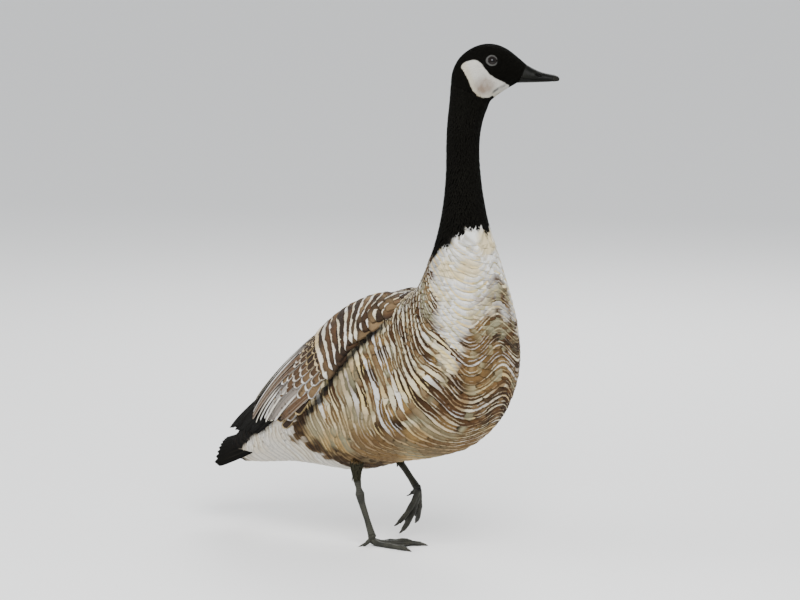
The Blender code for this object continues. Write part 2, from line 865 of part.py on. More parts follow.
def make_foot(word, side, shank, toe_path, up, folds):
    """The toes, the skin between them and the claws."""
    end, before = Vector(shank[-1][0]), Vector(shank[-2][0])
    down = (end - before).normalized()
    top = end + down * GAP
    knuckle = top + down * 0.006
    pieces = [limb("knuckle", [top, top + down * 0.003, knuckle], [0.0060, 0.0066, 0.0060], 12)]
    paths = {}
    for toe in TOES:
        points, radii = toe_path(toe, knuckle, side)
        paths[toe[0]] = [tuple(p) for p in points]
        pieces.append(limb("toe", points, radii, TOE_SIDES))
        claw = toe_claw(f"claw_{toe[0]}_{word}", points, radii, up)
        flatten_sole(claw)
        fuse(claw.name, [claw], (), "claw")
    pieces.append(web_between(paths["inner"], paths["middle"], up, folds))
    pieces.append(web_between(paths["middle"], paths["outer"], up, folds))
    for piece in pieces:
        flatten_sole(piece)
    return fuse("foot_" + word, pieces, (), "leg_skin")


def make_leg(word, side, thigh, shank, toe_path, torso_cutter, up, folds):
    points, radii = points_and_radii(thigh)
    body = limb("thigh_" + word, points, radii, 18)
    fuse("thigh_" + word, [body], [torso_cutter], "brown_plumage")
    way = (points[-1] - points[-2]).normalized()
    top = points[-1] + way * GAP
    points, radii = points_and_radii(shank)
    points = [top, top + way * (SHANK_TOP / 2)] + points
    radii = [SHANK_TOP, SHANK_TOP] + radii
    body = limb("shank_" + word, points, radii, 12)
    fuse("shank_" + word, [body], (), "leg_skin")
    make_foot(word, side, shank, toe_path, up, folds)


def main():
    clear_scene()
    torso, neck = make_flesh()
    torso_cutter, body_cutter = make_cutters()
    fuse("torso", [torso], (), "brown_plumage")
    fuse("neck", [neck], (), "black_plumage")
    make_head()
    make_bill()
    make_tail(torso_cutter)
    for word, side in (("left", 1), ("right", -1)):
        make_wing(word, side, body_cutter)
    up = Vector((0, 0, 1))
    make_leg("right", -1, STANDING_THIGH, STANDING_SHANK, standing_toe, torso_cutter, up, 0)
    forward = Vector((0.8, 0, -0.6)).normalized()
    make_leg("left", 1, RAISED_THIGH, RAISED_SHANK, hanging_toe, torso_cutter, forward, -0.008)


main()
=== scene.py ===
# %% [markdown]
# # A walking Canada goose
# The solids of the goose come in first and stay where they are. Everything below dresses
# them: a skin, nearly eighteen thousand feathers, long wing and tail feathers, eyes, a bill
# and scaled legs. Sizes are in metres, +X is the way the body faces and +Z is up.

import json
import math

import bmesh
import bpy
import numpy as np
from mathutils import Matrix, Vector
from mathutils.kdtree import KDTree

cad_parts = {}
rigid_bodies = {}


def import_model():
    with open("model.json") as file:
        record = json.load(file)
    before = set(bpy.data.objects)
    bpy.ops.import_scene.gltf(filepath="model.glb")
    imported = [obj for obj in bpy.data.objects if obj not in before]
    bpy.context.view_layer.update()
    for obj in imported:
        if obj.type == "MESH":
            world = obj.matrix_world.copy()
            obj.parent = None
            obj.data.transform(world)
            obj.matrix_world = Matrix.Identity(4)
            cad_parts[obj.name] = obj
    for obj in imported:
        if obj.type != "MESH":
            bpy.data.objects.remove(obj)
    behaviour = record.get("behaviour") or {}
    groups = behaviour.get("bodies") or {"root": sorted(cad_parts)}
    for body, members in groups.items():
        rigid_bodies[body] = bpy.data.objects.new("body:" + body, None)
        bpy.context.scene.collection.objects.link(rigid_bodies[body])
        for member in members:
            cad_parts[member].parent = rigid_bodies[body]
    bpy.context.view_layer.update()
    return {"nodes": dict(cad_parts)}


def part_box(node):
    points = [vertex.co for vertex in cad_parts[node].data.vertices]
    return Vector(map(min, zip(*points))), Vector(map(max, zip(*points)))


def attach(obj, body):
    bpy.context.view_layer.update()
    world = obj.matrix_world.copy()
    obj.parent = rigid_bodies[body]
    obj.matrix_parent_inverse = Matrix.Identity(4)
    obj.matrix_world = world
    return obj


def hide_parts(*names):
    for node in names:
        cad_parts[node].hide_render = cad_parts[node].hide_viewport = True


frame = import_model()

# %% [markdown]
# ## Camera, light and floor
# The picture looks at the bird from its front right and from a little above. A long lens
# from seven metres away keeps the perspective as flat as a drawing's. One large soft lamp
# above and a pale room light do the rest, as on a museum's photo table.

# %% Camera
TURN, TILT, DISTANCE = math.radians(40), math.radians(8), 7.0
AIM = Vector((0, 0, 0.35))
FRAME_WIDTH = 1.2  # metres across the picture at the bird
MOVED_RIGHT, MOVED_UP = 0.0084, 0.0245  # so that the bird stands where the picture has it

right = Vector((math.cos(TURN), math.sin(TURN), 0))
back = Vector((math.sin(TURN) * math.cos(TILT), -math.cos(TURN) * math.cos(TILT), math.sin(TILT)))
up = back.cross(right)
lens = bpy.data.cameras.new("camera")
lens.lens = lens.sensor_width * DISTANCE / FRAME_WIDTH
camera = bpy.data.objects.new("camera", lens)
bpy.context.scene.collection.objects.link(camera)
camera.location = AIM + right * MOVED_RIGHT + up * MOVED_UP + back * DISTANCE
camera.rotation_euler = back.to_track_quat("Z", "Y").to_euler()
bpy.context.scene.camera = camera
print("camera at", tuple(round(v, 3) for v in camera.location))


# %% Lights
def soft_lamp(name, place, size, power):
    """A square lamp that looks at the middle of the bird."""
    lamp = bpy.data.lights.new(name, "AREA")
    lamp.size, lamp.energy = size, power
    obj = bpy.data.objects.new(name, lamp)
    bpy.context.scene.collection.objects.link(obj)
    obj.location = place
    obj.rotation_euler = (Vector(place) - AIM).to_track_quat("Z", "Y").to_euler()
    print(name, "lamp:", power, "watts")


soft_lamp("key", (1.9, -1.6, 2.3), 1.6, 135)
soft_lamp("fill", (-2.2, -2.0, 1.3), 2.0, 46)
soft_lamp("rim", (-1.2, 2.2, 2.2), 1.4, 60)
room = bpy.data.worlds.new("room")
bpy.context.scene.world = room
room.use_nodes = True
room_light = room.node_tree.nodes["Background"]
room_light.inputs["Color"].default_value = (0.95, 0.97, 1, 1)
room_light.inputs["Strength"].default_value = 1.0


# %% Floor
def plain_material(name, colour, roughness):
    made = bpy.data.materials.new(name)
    made.use_nodes = True
    shader = made.node_tree.nodes["Principled BSDF"]
    shader.inputs["Base Color"].default_value = (*colour, 1)
    shader.inputs["Roughness"].default_value = roughness
    return made


def mesh_object(name, points, faces):
    mesh = bpy.data.meshes.new(name)
    mesh.from_pydata([tuple(p) for p in points], [], [tuple(f) for f in faces])
    mesh.validate()
    mesh.shade_smooth()
    obj = bpy.data.objects.new(name, mesh)
    bpy.context.scene.collection.objects.link(obj)
    return obj


FLOOR = 30.0  # half its width
corners = [(x * FLOOR, y * FLOOR, 0) for x, y in ((-1, -1), (1, -1), (1, 1), (-1, 1))]
floor = mesh_object("floor", corners, [(0, 1, 2, 3)])
floor.data.materials.append(plain_material("pale_floor", (0.86, 0.86, 0.85), 0.9))

# %% [markdown]
# ## Writing materials as sums
# A feather's colour is a small sum of masks and colours. Linking nodes one by one hides that
# sum, so one class wraps a socket and gives it the signs of arithmetic: each sign adds its
# Math node. Colours go through a Mix node, because a Math node would turn them grey.


# %% A socket that can be added, multiplied and compared
class Value:
    """A number that varies over the surface."""

    def __init__(self, finish, socket):
        self.finish, self.socket = finish, socket

    def math(self, operation, *values):
        return self.finish.node("ShaderNodeMath", {"operation": operation}, *values)

    def __add__(self, other):
        return self.math("ADD", self, other)

    def __sub__(self, other):
        return self.math("SUBTRACT", self, other)

    def __rsub__(self, other):
        return self.math("SUBTRACT", other, self)

    def __mul__(self, other):
        return self.math("MULTIPLY", self, other)

    __radd__ = __add__
    __rmul__ = __mul__

    def size(self):
        """The number without its sign."""
        return self.math("ABSOLUTE", self)

    def wave(self):
        return self.math("SINE", self)

    def most(self, other):
        """The larger of two numbers."""
        return self.math("MAXIMUM", self, other)

    def steps(self, low, high):
        """A soft step from 0 at low to 1 at high."""
        settings = {"interpolation_type": "SMOOTHSTEP"}
        return self.finish.node("ShaderNodeMapRange", settings, self, low, high, 0.0, 1.0)


# %% A material that is written as such sums
class Finish:
    """A material with one Principled shader. Constants go straight on the shader."""

    def __init__(self, name, **constants):
        self.material = bpy.data.materials.new(name)
        self.material.use_nodes = True
        self.tree = self.material.node_tree
        self.shader = self.tree.nodes["Principled BSDF"]
        for key, value in constants.items():
            self.shader.inputs[key.replace("_", " ")].default_value = value

    def node(self, kind, settings, *values, out=0, **named):
        """Adds a node: its settings, then its inputs in order, then its inputs by name."""
        made = self.tree.nodes.new(kind)
        for key, value in settings.items():
            setattr(made, key, value)
        pairs = list(zip([s for s in made.inputs if s.enabled], values))
        pairs += [(made.inputs[key.replace("_", " ")], value) for key, value in named.items()]
        for socket, value in pairs:
            self.connect(value, socket)
        outputs = [s for s in made.outputs if s.enabled]
        return Value(self, outputs[out])

    def connect(self, value, socket):
        if isinstance(value, Value):
            self.tree.links.new(value.socket, socket)
        elif isinstance(value, tuple) and socket.type == "RGBA":
            socket.default_value = (*value[:3], 1)
        elif value is not None:
            socket.default_value = value

    def number(self, name):
        """A number stored on the mesh."""
        return self.node("ShaderNodeAttribute", {"attribute_name": name}, out=2)

    def stored(self, name):
        """A colour or vector stored on the mesh."""
        return self.node("ShaderNodeAttribute", {"attribute_name": name}, out=0)

    def place(self):
        return self.node("ShaderNodeTexCoord", {}, out=3)

    def noise(self, vector, scale, detail=2.0):
        return self.node("ShaderNodeTexNoise", {}, Vector=vector, Scale=scale, Detail=detail)

    def cells(self, feature, scale):
        settings = {"feature": feature}
        return self.node("ShaderNodeTexVoronoi", settings, Vector=self.place(), Scale=scale)

    def blend(self, factor, low, high):
        """The colour low where factor is 0, and high where it is 1."""
        return self.node("ShaderNodeMix", {"data_type": "RGBA"}, factor, low, high)

    def stretched(self, vector, scale):
        return self.node("ShaderNodeVectorMath", {"operation": "MULTIPLY"}, vector, scale)

    def show(self, colour, roughness=None, height=None, depth=0.001):
        """Feeds the shader: its colour, its roughness, and a height in relief."""
        for socket, value in (("Base Color", colour), ("Roughness", roughness)):
            if value is not None:
                self.connect(value, self.shader.inputs[socket])
        if height is not None:
            bump = self.node("ShaderNodeBump", {}, Height=height, Distance=depth)
            self.connect(bump, self.shader.inputs["Normal"])
        return self.material


# %% [markdown]
# ## The shape of the body
# A bird's coat is one flowing surface from bill to tail. It is described here by its
# sections: where the back and the underside run, seen from the side, and how wide the bird
# is. A smooth curve through those rows gives any point of the coat from two numbers, t along
# the body and an angle round it. The same two numbers place every feather later, and they
# are also the flat unwrap on which its colours are baked.

# %% Sections from tail to bill
# back x, back z, underside x, underside z, half width, and how far up it is widest
SECTIONS = np.array((
    (-0.304, 0.146, -0.300, 0.098, 0.031, 0.50),
    (-0.262, 0.176, -0.252, 0.102, 0.045, 0.50),
    (-0.212, 0.216, -0.190, 0.110, 0.063, 0.50),
    (-0.160, 0.269, -0.127, 0.111, 0.084, 0.50),
    (-0.108, 0.324, -0.060, 0.1115, 0.098, 0.50),
    (-0.060, 0.361, 0.015, 0.1315, 0.105, 0.50),
    (-0.012, 0.382, 0.084, 0.1465, 0.107, 0.50),
    (0.030, 0.390, 0.140, 0.1670, 0.105, 0.50),
    (0.057, 0.399, 0.184, 0.208, 0.099, 0.50),
    (0.074, 0.416, 0.207, 0.260, 0.092, 0.50),
    (0.086, 0.441, 0.210, 0.316, 0.081, 0.50),
    (0.094, 0.468, 0.202, 0.370, 0.067, 0.50),
    (0.100, 0.495, 0.192, 0.418, 0.0535, 0.50),
    (0.104, 0.523, 0.181, 0.464, 0.0420, 0.50),
    (0.107, 0.553, 0.170, 0.512, 0.0325, 0.50),
    (0.109, 0.585, 0.162, 0.563, 0.0270, 0.50),
    (0.1095, 0.618, 0.159, 0.612, 0.0258, 0.50),
    (0.111, 0.650, 0.163, 0.649, 0.0268, 0.50),
    (0.1145, 0.684, 0.173, 0.679, 0.0285, 0.48),
    (0.1160, 0.706, 0.178, 0.686, 0.0292, 0.47),
    (0.1188, 0.727, 0.183, 0.6905, 0.0295, 0.46),
    (0.129, 0.747, 0.188, 0.694, 0.0290, 0.45),
    (0.1465, 0.761, 0.193, 0.6975, 0.0280, 0.45),
    (0.166, 0.7675, 0.198, 0.701, 0.0265, 0.46),
    (0.184, 0.7665, 0.203, 0.7038, 0.0240, 0.47),
    (0.200, 0.7595, 0.207, 0.706, 0.0205, 0.48),
    (0.214, 0.7487, 0.2105, 0.708, 0.0167, 0.49),
    (0.227, 0.7375, 0.2138, 0.710, 0.0130, 0.50),
))
LAST = len(SECTIONS) - 1
HEAD_TURN = math.radians(40)  # the head looks to the bird's left
NECK_X = 0.143  # the upright line that the neck and head turn about
TURN_STARTS, TURN_ENDS = 11.0, 18.0


# %% Any point of the coat
def ease(x):
    x = np.clip(x, 0.0, 1.0)
    return x * x * (3 - 2 * x)


def along(table, t):
    """The rows of a table at positions t, on a smooth curve through all its rows."""
    i = np.clip(np.floor(t).astype(int), 0, len(table) - 2)
    f = (t - i)[..., None]
    before, a = table[np.maximum(i - 1, 0)], table[i]
    b, after = table[i + 1], table[np.minimum(i + 2, len(table) - 1)]
    slope_a = (b - before) / np.where(i > 0, 2, 1)[..., None]
    slope_b = (after - a) / np.where(i + 2 < len(table), 2, 1)[..., None]
    return (
        (2 * f**3 - 3 * f**2 + 1) * a
        + (f**3 - 2 * f**2 + f) * slope_a
        + (3 * f**2 - 2 * f**3) * b
        + (f**3 - f**2) * slope_b
    )


def turned(points, angle):
    """Points turned about the upright line through the neck."""
    x, y = points[..., 0] - NECK_X, points[..., 1]
    c, s = np.cos(angle), np.sin(angle)
    return np.stack((NECK_X + x * c - y * s, x * s + y * c, points[..., 2]), -1)


def section_point(t, angle):
    row = along(SECTIONS, t)
    y = np.zeros_like(t)
    top = np.stack((row[..., 0], y, row[..., 1]), -1)
    under = np.stack((row[..., 2], y, row[..., 3]), -1)
    centre = under + (top - under) * row[..., 5:6]
    c = np.cos(angle)[..., None]
    reach = np.where(c > 0, (top - centre) * c, (centre - under) * c)
    side = np.stack((y, row[..., 4] * np.sin(angle), y), -1)
    turn = HEAD_TURN * ease((t - TURN_STARTS) / (TURN_ENDS - TURN_STARTS))
    return turned(centre + reach + side, turn)


def coat_point(t, angle):
    """The coat's surface: t along the bird, angle 0 at the back, pi underneath, and
    positive on its left. Past the ends it runs straight on."""
    t, angle = np.broadcast_arrays(np.asarray(t, float), np.asarray(angle, float))
    inside = np.clip(t, 0.0, LAST)
    point = section_point(inside, angle)
    step = np.where(t < 0, 0.1, -0.1)
    slope = (section_point(inside + step, angle) - point) / step[..., None]
    return point + slope * (t - inside)[..., None]


def unit(vectors):
    return vectors / np.maximum(np.linalg.norm(vectors, axis=-1, keepdims=True), 1e-12)


def slopes(surface, t, angle):
    """How a surface moves with t and with the angle, and the way it faces."""
    step = 0.02
    by_t = (surface(t + step, angle) - surface(t - step, angle)) / (2 * step)
    by_angle = (surface(t, angle + step) - surface(t, angle - step)) / (2 * step)
    return by_t, by_angle, unit(np.cross(by_t, by_angle))


check = coat_point(np.array([27.0]), np.array([0.0]))[0]
print("the coat ends at the bill's base:", check.round(4))

# %% [markdown]
# ## Markings
# The black stocking of head and neck, the white chin strap, the cream breast, the barred
# flanks and the white under the tail belong to places on the bird, not to single feathers.
# So one function gives the colours at any place of the coat. The skin and every feather on
# it ask the same function, which keeps them alike. Each feather has two colours, for the
# middle of its vane and for its edge.

# %% Colours, as linear red, green and blue
BLACK = (0.0014, 0.0014, 0.0011)
NECK_SHEEN = (0.0040, 0.0041, 0.0030)
WHITE = (0.88, 0.87, 0.83)
CREAM = (0.74, 0.66, 0.46)
YELLOW = (0.78, 0.61, 0.27)
SAND = (0.62, 0.45, 0.21)
OCHRE = (0.40, 0.25, 0.092)
TAN = (0.26, 0.170, 0.082)
PALE_GREY = (0.56, 0.545, 0.51)
OLIVE = (0.33, 0.31, 0.19)
BROWN = (0.100, 0.050, 0.020)
DARK = (0.026, 0.013, 0.006)
CHEEK_TAN = (0.40, 0.30, 0.225)
# the grey of the painted shadow along the chin strap's lower edge
CHIN_SHADOW_GREY = (0.085, 0.090, 0.090)


def mix(low, high, share):
    """Colour low where share is 0, high where it is 1."""
    low, high = np.asarray(low, float), np.asarray(high, float)
    return low + (high - low) * np.clip(share, 0, 1)[..., None]


def ramp(share, *colours):
    """Runs through several colours as share goes from 0 to 1."""
    stops, colours = np.linspace(0, 1, len(colours)), np.asarray(colours, float)
    return np.stack([np.interp(share, stops, colours[:, c]) for c in range(3)], -1)


def waves(points, seed, size):
    """A smooth random number between 0 and 1 that changes over about size metres."""
    rng = np.random.default_rng(seed)
    total = np.zeros(points.shape[:-1])
    for _ in range(7):
        way = unit(rng.normal(size=3))
        total += np.sin(points @ way * (2 * np.pi / size) * rng.uniform(0.6, 1.5) + rng.uniform(0, 7))
    return np.clip(0.5 + total / 6.0, 0, 1)


# %% Where the black stocking and the chin strap end
# section number of the stocking's lower edge, at degrees round from the nape to the front
SOCK_AT = (0, 50, 63, 77, 92, 111, 134, 158, 180)
SOCK_EDGE = (10.5, 10.9, 11.4, 12.1, 12.7, 13.2, 13.5, 13.55, 13.45)
SOCK_JAG = 0.20


def sock(t, angle, points):
    """1 on the black neck and head, 0 on the breast."""
    edge = np.interp(np.abs(np.degrees(angle)), SOCK_AT, SOCK_EDGE)
    jag = (waves(points, 3, 0.016) - 0.5) * 2 * SOCK_JAG
    return ease((t - edge + jag) / 0.08 + 0.5)


# The chin strap on the side of the head, before the head is turned: x and z of its outline
STRAP = np.array((
    (0.1309, 0.7356), (0.1355, 0.7412), (0.1425, 0.7443), (0.1486, 0.7453), (0.1545, 0.7446),
    (0.1590, 0.7417), (0.1692, 0.7292), (0.1773, 0.7212), (0.1984, 0.7095), (0.2015, 0.7040),
    (0.1965, 0.6880), (0.1830, 0.6870), (0.1780, 0.6920), (0.1720, 0.6902), (0.1643, 0.6900),
    (0.1564, 0.6930), (0.1473, 0.7028), (0.1418, 0.7159), (0.1381, 0.7234), (0.1309, 0.7356),
))
STRAP = along(STRAP, np.linspace(0, len(STRAP) - 1, 3 * len(STRAP))[:-1])
STRAP_STARTS = 17.5  # section number below which there is none
STRAP_JAG, STRAP_SOFT = 0.0008, 0.0012  # how ragged and how soft its edge is


def inside_outline(x, z, outline):
    """How far points lie inside an outline: positive within, negative outside."""
    near = np.full(x.shape, 1e9)
    within = np.zeros(x.shape, bool)
    for (ax, az), (bx, bz) in zip(outline, np.roll(outline, -1, axis=0)):
        length = (bx - ax) ** 2 + (bz - az) ** 2
        share = np.clip(((x - ax) * (bx - ax) + (z - az) * (bz - az)) / length, 0, 1)
        near = np.minimum(near, np.hypot(x - ax - share * (bx - ax), z - az - share * (bz - az)))
        crosses = (az > z) != (bz > z)
        slope = (bx - ax) / (bz - az if abs(bz - az) > 1e-9 else 1e-9)
        within ^= crosses & (x < ax + (z - az) * slope)
    return np.where(within, near, -near)


def strap(t, points):
    """1 on the white chin strap."""
    straight = turned(points, -HEAD_TURN)
    inside = inside_outline(straight[..., 0], straight[..., 2], STRAP)
    jag = (waves(points, 8, 0.006) - 0.5) * STRAP_JAG
    return np.where(t > STRAP_STARTS, ease((inside + jag) / STRAP_SOFT + 0.5), 0)


def strap_colours(points):
    """White, cream behind, with a soft tan shade low on the cheek, and a grey line of painted shadow
    along its lower front edge.
    """
    straight = turned(points, -HEAD_TURN)
    x, z = straight[..., 0], straight[..., 2]
    streak = waves(points * (1, 1, 0.6), 44, 0.009)
    behind = x + 0.45 * (z - 0.6925) - 0.1560  # how far in front of the strap's rear edge
    warmth = 0.45 * ease(1 - behind / 0.009) + 0.25 * ease((0.704 - z) / 0.012)
    cheek = mix(WHITE, CREAM, 0.25 + warmth)
    tan = ease(1.5 * np.exp(-(((x - 0.1655) / 0.0125) ** 2) - ((z - 0.7075) / 0.0120) ** 2))
    cheek = mix(cheek, CHEEK_TAN, tan * (0.60 + 0.40 * streak))
    # painted shadow: a grey band along the lower front edge of the strap
    below = np.abs(z - 0.7068 - 0.62 * (x - 0.1925)) / 0.0030
    chin_shadow = ease(1.25 - below) * ease((x - 0.175) / 0.005) * (0.5 + 0.5 * ease((streak - 0.25) / 0.3))
    return mix(cheek, CHIN_SHADOW_GREY, chin_shadow * 0.8)


# %% Where the white under the tail begins
VENT_AT = (60, 93, 106, 120, 131, 142, 152, 180)
VENT_EDGE = (2.6, 3.16, 3.10, 3.22, 3.56, 3.82, 4.06, 4.4)
RUMP_AT = (0.0, 0.4, 0.82, 1.8, 3.2)  # section numbers
RUMP_EDGE = (124, 115, 99, 82, 84)  # black above this many degrees


def vent(t, angle, points):
    """1 on the white under the tail, and how near its dark rim is."""
    degrees = np.abs(np.degrees(angle))
    jag = (waves(points, 13, 0.02) - 0.5) * 0.5
    inside = np.interp(degrees, VENT_AT, VENT_EDGE) + jag - t
    below = ease((degrees - np.interp(t, RUMP_AT, RUMP_EDGE)) / 5 + 0.5)
    below = below * ease((t - 0.3 + 0.3 * jag) / 0.2)
    rim = ease(1.2 - np.abs(inside + 0.30) / 0.32) * ease((degrees - 70) / 20)
    return ease(inside / 0.12 + 0.5) * below, rim * 0.95


# %% Where the white of the breast ends below
# section number of its lower edge, at degrees round from the nape to the front
BREAST_AT = (30, 50, 66, 80, 94, 108, 115, 127, 131, 141, 150, 180)
BREAST_EDGE = (11.4, 11.3, 11.1, 10.4, 10.0, 9.5, 9.2, 9.8, 10.2, 10.8, 11.3, 11.8)


def breast(t, angle, points, draw):
    """1 on the white breast, and 1 on the brown front of the body below it."""
    degrees = np.abs(np.degrees(angle))
    jag = (waves(points, 31, 0.035) - 0.5) * 0.7 + (draw - 0.4) * 0.9
    white = ease((t - np.interp(degrees, BREAST_AT, BREAST_EDGE) + jag) / 0.6 + 0.5)
    return white, ease((degrees - 105) / 26) * ease((t - 6.4) / 1.6)


# %% The colours of a feather at a place
def flank_colours(draw, patch, down, t):
    """Long bars of brown, cream, ochre and grey, olive and brown at the shoulder."""
    vane = ramp(draw, DARK, BROWN, TAN, BROWN, OLIVE, BROWN, OCHRE, DARK)
    edge = ramp(draw, YELLOW, CREAM, OLIVE, SAND, CREAM, YELLOW, WHITE, PALE_GREY)
    wide = (0.52 + 1.0 * patch) * (0.75 + 0.6 * np.sin(9 * draw) ** 2)
    rear = ease((5.8 - t) / 1.2) * ease((down - 0.50) / 0.08)
    vane = mix(vane, ramp(draw, TAN, OLIVE, TAN, SAND), rear * 0.6)
    edge = mix(edge, CREAM, rear * 0.5)
    shoulder = ease((t - 6.4) / 1.4) * ease((0.58 - down) / 0.12)
    vane = mix(vane, ramp(draw, BROWN, DARK, TAN, BROWN, OLIVE, DARK, BROWN), shoulder * 0.9)
    edge = mix(edge, ramp(draw, PALE_GREY, CREAM, OLIVE, WHITE, TAN, CREAM), shoulder * 0.85)
    return vane, edge, wide * (1 - 0.2 * shoulder)


def front_colours(draw, drift, patch, vane, edge, wide, white, low):
    """Brown and ochre with thin pale lines, and thick white strokes on the breast."""
    vane = mix(vane, ramp(draw, BROWN, DARK, OLIVE, BROWN, DARK, TAN, DARK, BROWN), low)
    vane = mix(vane, OCHRE, low * 0.25 * ease((drift - 0.6) / 0.2))
    edge = mix(edge, ramp(draw, PALE_GREY, TAN, OLIVE, SAND, PALE_GREY, CREAM, TAN), low)
    wide = wide * (1 - low) + (0.25 + 0.70 * patch) * low
    vane = mix(vane, ramp(draw, WHITE, WHITE, CREAM, WHITE, PALE_GREY, WHITE, WHITE), white)
    vane = mix(vane, YELLOW, white * 0.7 * ease((patch - 0.62) / 0.15) * ease((draw - 0.3) / 0.2))
    edge = mix(edge, ramp(draw, YELLOW, OLIVE, YELLOW, SAND, CREAM, YELLOW), white)
    return vane, edge, wide * (1 - white) + (0.3 + 1.3 * drift) * white


BELLY_Z = 0.222  # the belly's colours begin below this height


def plumage(t, angle, points, draw):
    """Colours of vane and edge, and how wide the edge is. draw is a number between 0 and 1
    which changes little along a row of feathers, so that rows read as bars."""
    angle = (np.asarray(angle) + np.pi) % (2 * np.pi) - np.pi
    down = np.abs(angle) / np.pi  # 0 on the back, 1 underneath
    height = points[..., 2]
    patch, drift = waves(points, 21, 0.05), waves(points, 33, 0.10)

    vane, edge, wide = flank_colours(draw, patch, down, t)
    calm = ease((waves(points, 61, 0.09) - 0.52) / 0.25) * 0.6 * ease((6.8 - t) / 1.2)
    vane, edge = mix(vane, mix(OLIVE, OCHRE, drift), calm), mix(edge, mix(TAN, SAND, drift), calm)
    white, low = breast(t, angle, points, draw)
    vane, edge, wide = front_colours(draw, drift, patch, vane, edge, wide, white, low)

    # belly: ochre and tan with a brown shade
    belly = ease((BELLY_Z - height + 0.05 * (patch - 0.5)) / 0.06) * (1 - 0.5 * low)
    shade = 0.85 * ease((drift - 0.30) / 0.2)
    vane = mix(vane, mix(ramp(draw, OCHRE, OLIVE, TAN, OCHRE), BROWN, shade * 0.8), belly * 0.9)
    edge = mix(edge, mix(ramp(draw, SAND, OCHRE, SAND, OCHRE), TAN, shade), belly * 0.95)
    wide = wide * (1 - 0.4 * belly)

    # back: dark brown with cream tips
    over = ease((0.20 - down) / 0.10) * ease((9.2 - t) / 0.8)
    vane = mix(vane, ramp(draw, DARK, BROWN, DARK, BROWN, TAN), over)
    edge = mix(edge, ramp(draw, CREAM, WHITE, SAND, CREAM), over)

    # painted shadow: a dark line on the flank just under the edge of the folded wing, where the wing's
    # shadow falls
    past = np.degrees(np.abs(angle) - wing_lower(t))
    line = ease(1.5 - np.abs(past - 4.6) / 3.6) * ease((7.3 - t) / 0.6) * ease((t - 2.0) / 0.6)
    vane, edge = mix(vane, BLACK, line), mix(edge, BLACK, line * 0.95)

    # white under the tail with a dark rim, black rump, white over the tail's root
    white, rim = vent(t, angle, points)
    rump = ease((2.6 - t) / 0.3) * (1 - white)
    vane, edge = mix(vane, DARK, rim), mix(edge, mix(DARK, BROWN, 0.5), rim)
    vane, edge = mix(vane, BLACK, rump), mix(edge, BLACK, rump)
    band = ease((0.17 - down) / 0.05) * ease((1.25 - t) / 0.2) * ease((t - 0.45) / 0.15)
    white = np.maximum(white, band)
    tinge = 0.25 + 0.35 * patch * (draw < 0.5) + 0.25 * ease((1.1 - t) / 0.6)
    vane = mix(vane, mix(WHITE, SAND, tinge), white)
    edge = mix(edge, mix(WHITE, CREAM, tinge), white)

    # head and neck
    black = sock(t, angle, points)
    vane = mix(vane, mix(BLACK, NECK_SHEEN, draw * 0.8), black)
    edge = mix(edge, NECK_SHEEN, black)
    white, cheek = strap(t, points), strap_colours(points)
    vane, edge = mix(vane, cheek, white), mix(edge, mix(cheek, WHITE, 0.15), white)
    return vane, edge, wide


# %% [markdown]
# ## The skin
# A museum's mounted bird has one skin, drawn over a form that is thinner than the bird by
# the depth of its plumage. The skin here is the coat's surface moved inwards: several
# millimetres on the body, little on the head and nothing at the bill. The folded wings lie
# on the body as two low swellings of the same skin, and both thighs are joined to it with
# one union, so that no seam shows anywhere.

# %% How deep the plumage is, and how the folded wings stand out
DEPTH = np.array((0.0035, 0.0048, 0.0048, 0.0038, 0.0026, 0.0018, 0.0012, 0.0005))
DEPTH_AT = (0.0, 3.0, 8.0, 11.0, 13.0, 17.0, 22.0, 27.0)


def depth(t):
    """The depth of the plumage at a place along the bird."""
    return np.interp(t, DEPTH_AT, DEPTH)


WING_REAR, WING_FRONT = 1.9, 7.4  # section numbers
WING_TOP = math.radians(9)
# how far down the side the wing reaches at sections 1 to 8
WING_LOWER = np.radians(np.array(((92.0,), (102,), (100,), (89,), (74,), (58,), (44,), (32,))))
WING_THICK, WING_STEP = 0.011, 0.0018  # its swelling, and the step at its edges


def wing_lower(t):
    return along(WING_LOWER, np.clip(t, 1.0, 8.0) - 1)[..., 0]


def wing_height(t, share):
    """How high the wing stands over the body; share is 0 at its top edge and 1 at the lower."""
    lengthways = ease((t - WING_REAR + 0.4) / 1.6) * ease((WING_FRONT - t + 0.1) / 1.2)
    across = np.maximum(0.0, 1 - np.abs(2 * np.clip(share, 0, 1) - 1) ** 2.6)
    return WING_STEP * lengthways + WING_THICK * lengthways * across


def lifted(surface, t, angle, height):
    """A surface's point, moved out by height."""
    facing = slopes(surface, t, angle)[2]
    return surface(t, angle) + facing * np.asarray(height)[..., None]


def skin_point(t, angle):
    around = np.abs((angle + np.pi) % (2 * np.pi) - np.pi)
    share = (around - WING_TOP) / (wing_lower(t) - WING_TOP)
    wing = wing_height(t, share) * ease(share / 0.05 + 1) * ease((1.05 - share) / 0.05)
    return lifted(coat_point, t, angle, wing - depth(t))


# %% Closed skins over rings of points
def grid_faces(rows, columns, wrap=True, ring=False):
    """Faces between rows of points. wrap closes each row, ring joins the last to the first."""
    faces = []
    for r in range(rows if ring else rows - 1):
        here, there = r * columns, (r + 1) % rows * columns
        for c in range(columns if wrap else columns - 1):
            n = (c + 1) % columns
            faces.append((here + c, there + c, there + n, here + n))
    return faces


def face_outwards(obj):
    work = bmesh.new()
    work.from_mesh(obj.data)
    bmesh.ops.recalc_face_normals(work, faces=work.faces)
    if work.calc_volume(signed=True) < 0:
        bmesh.ops.reverse_faces(work, faces=work.faces)
    work.to_mesh(obj.data)
    work.free()


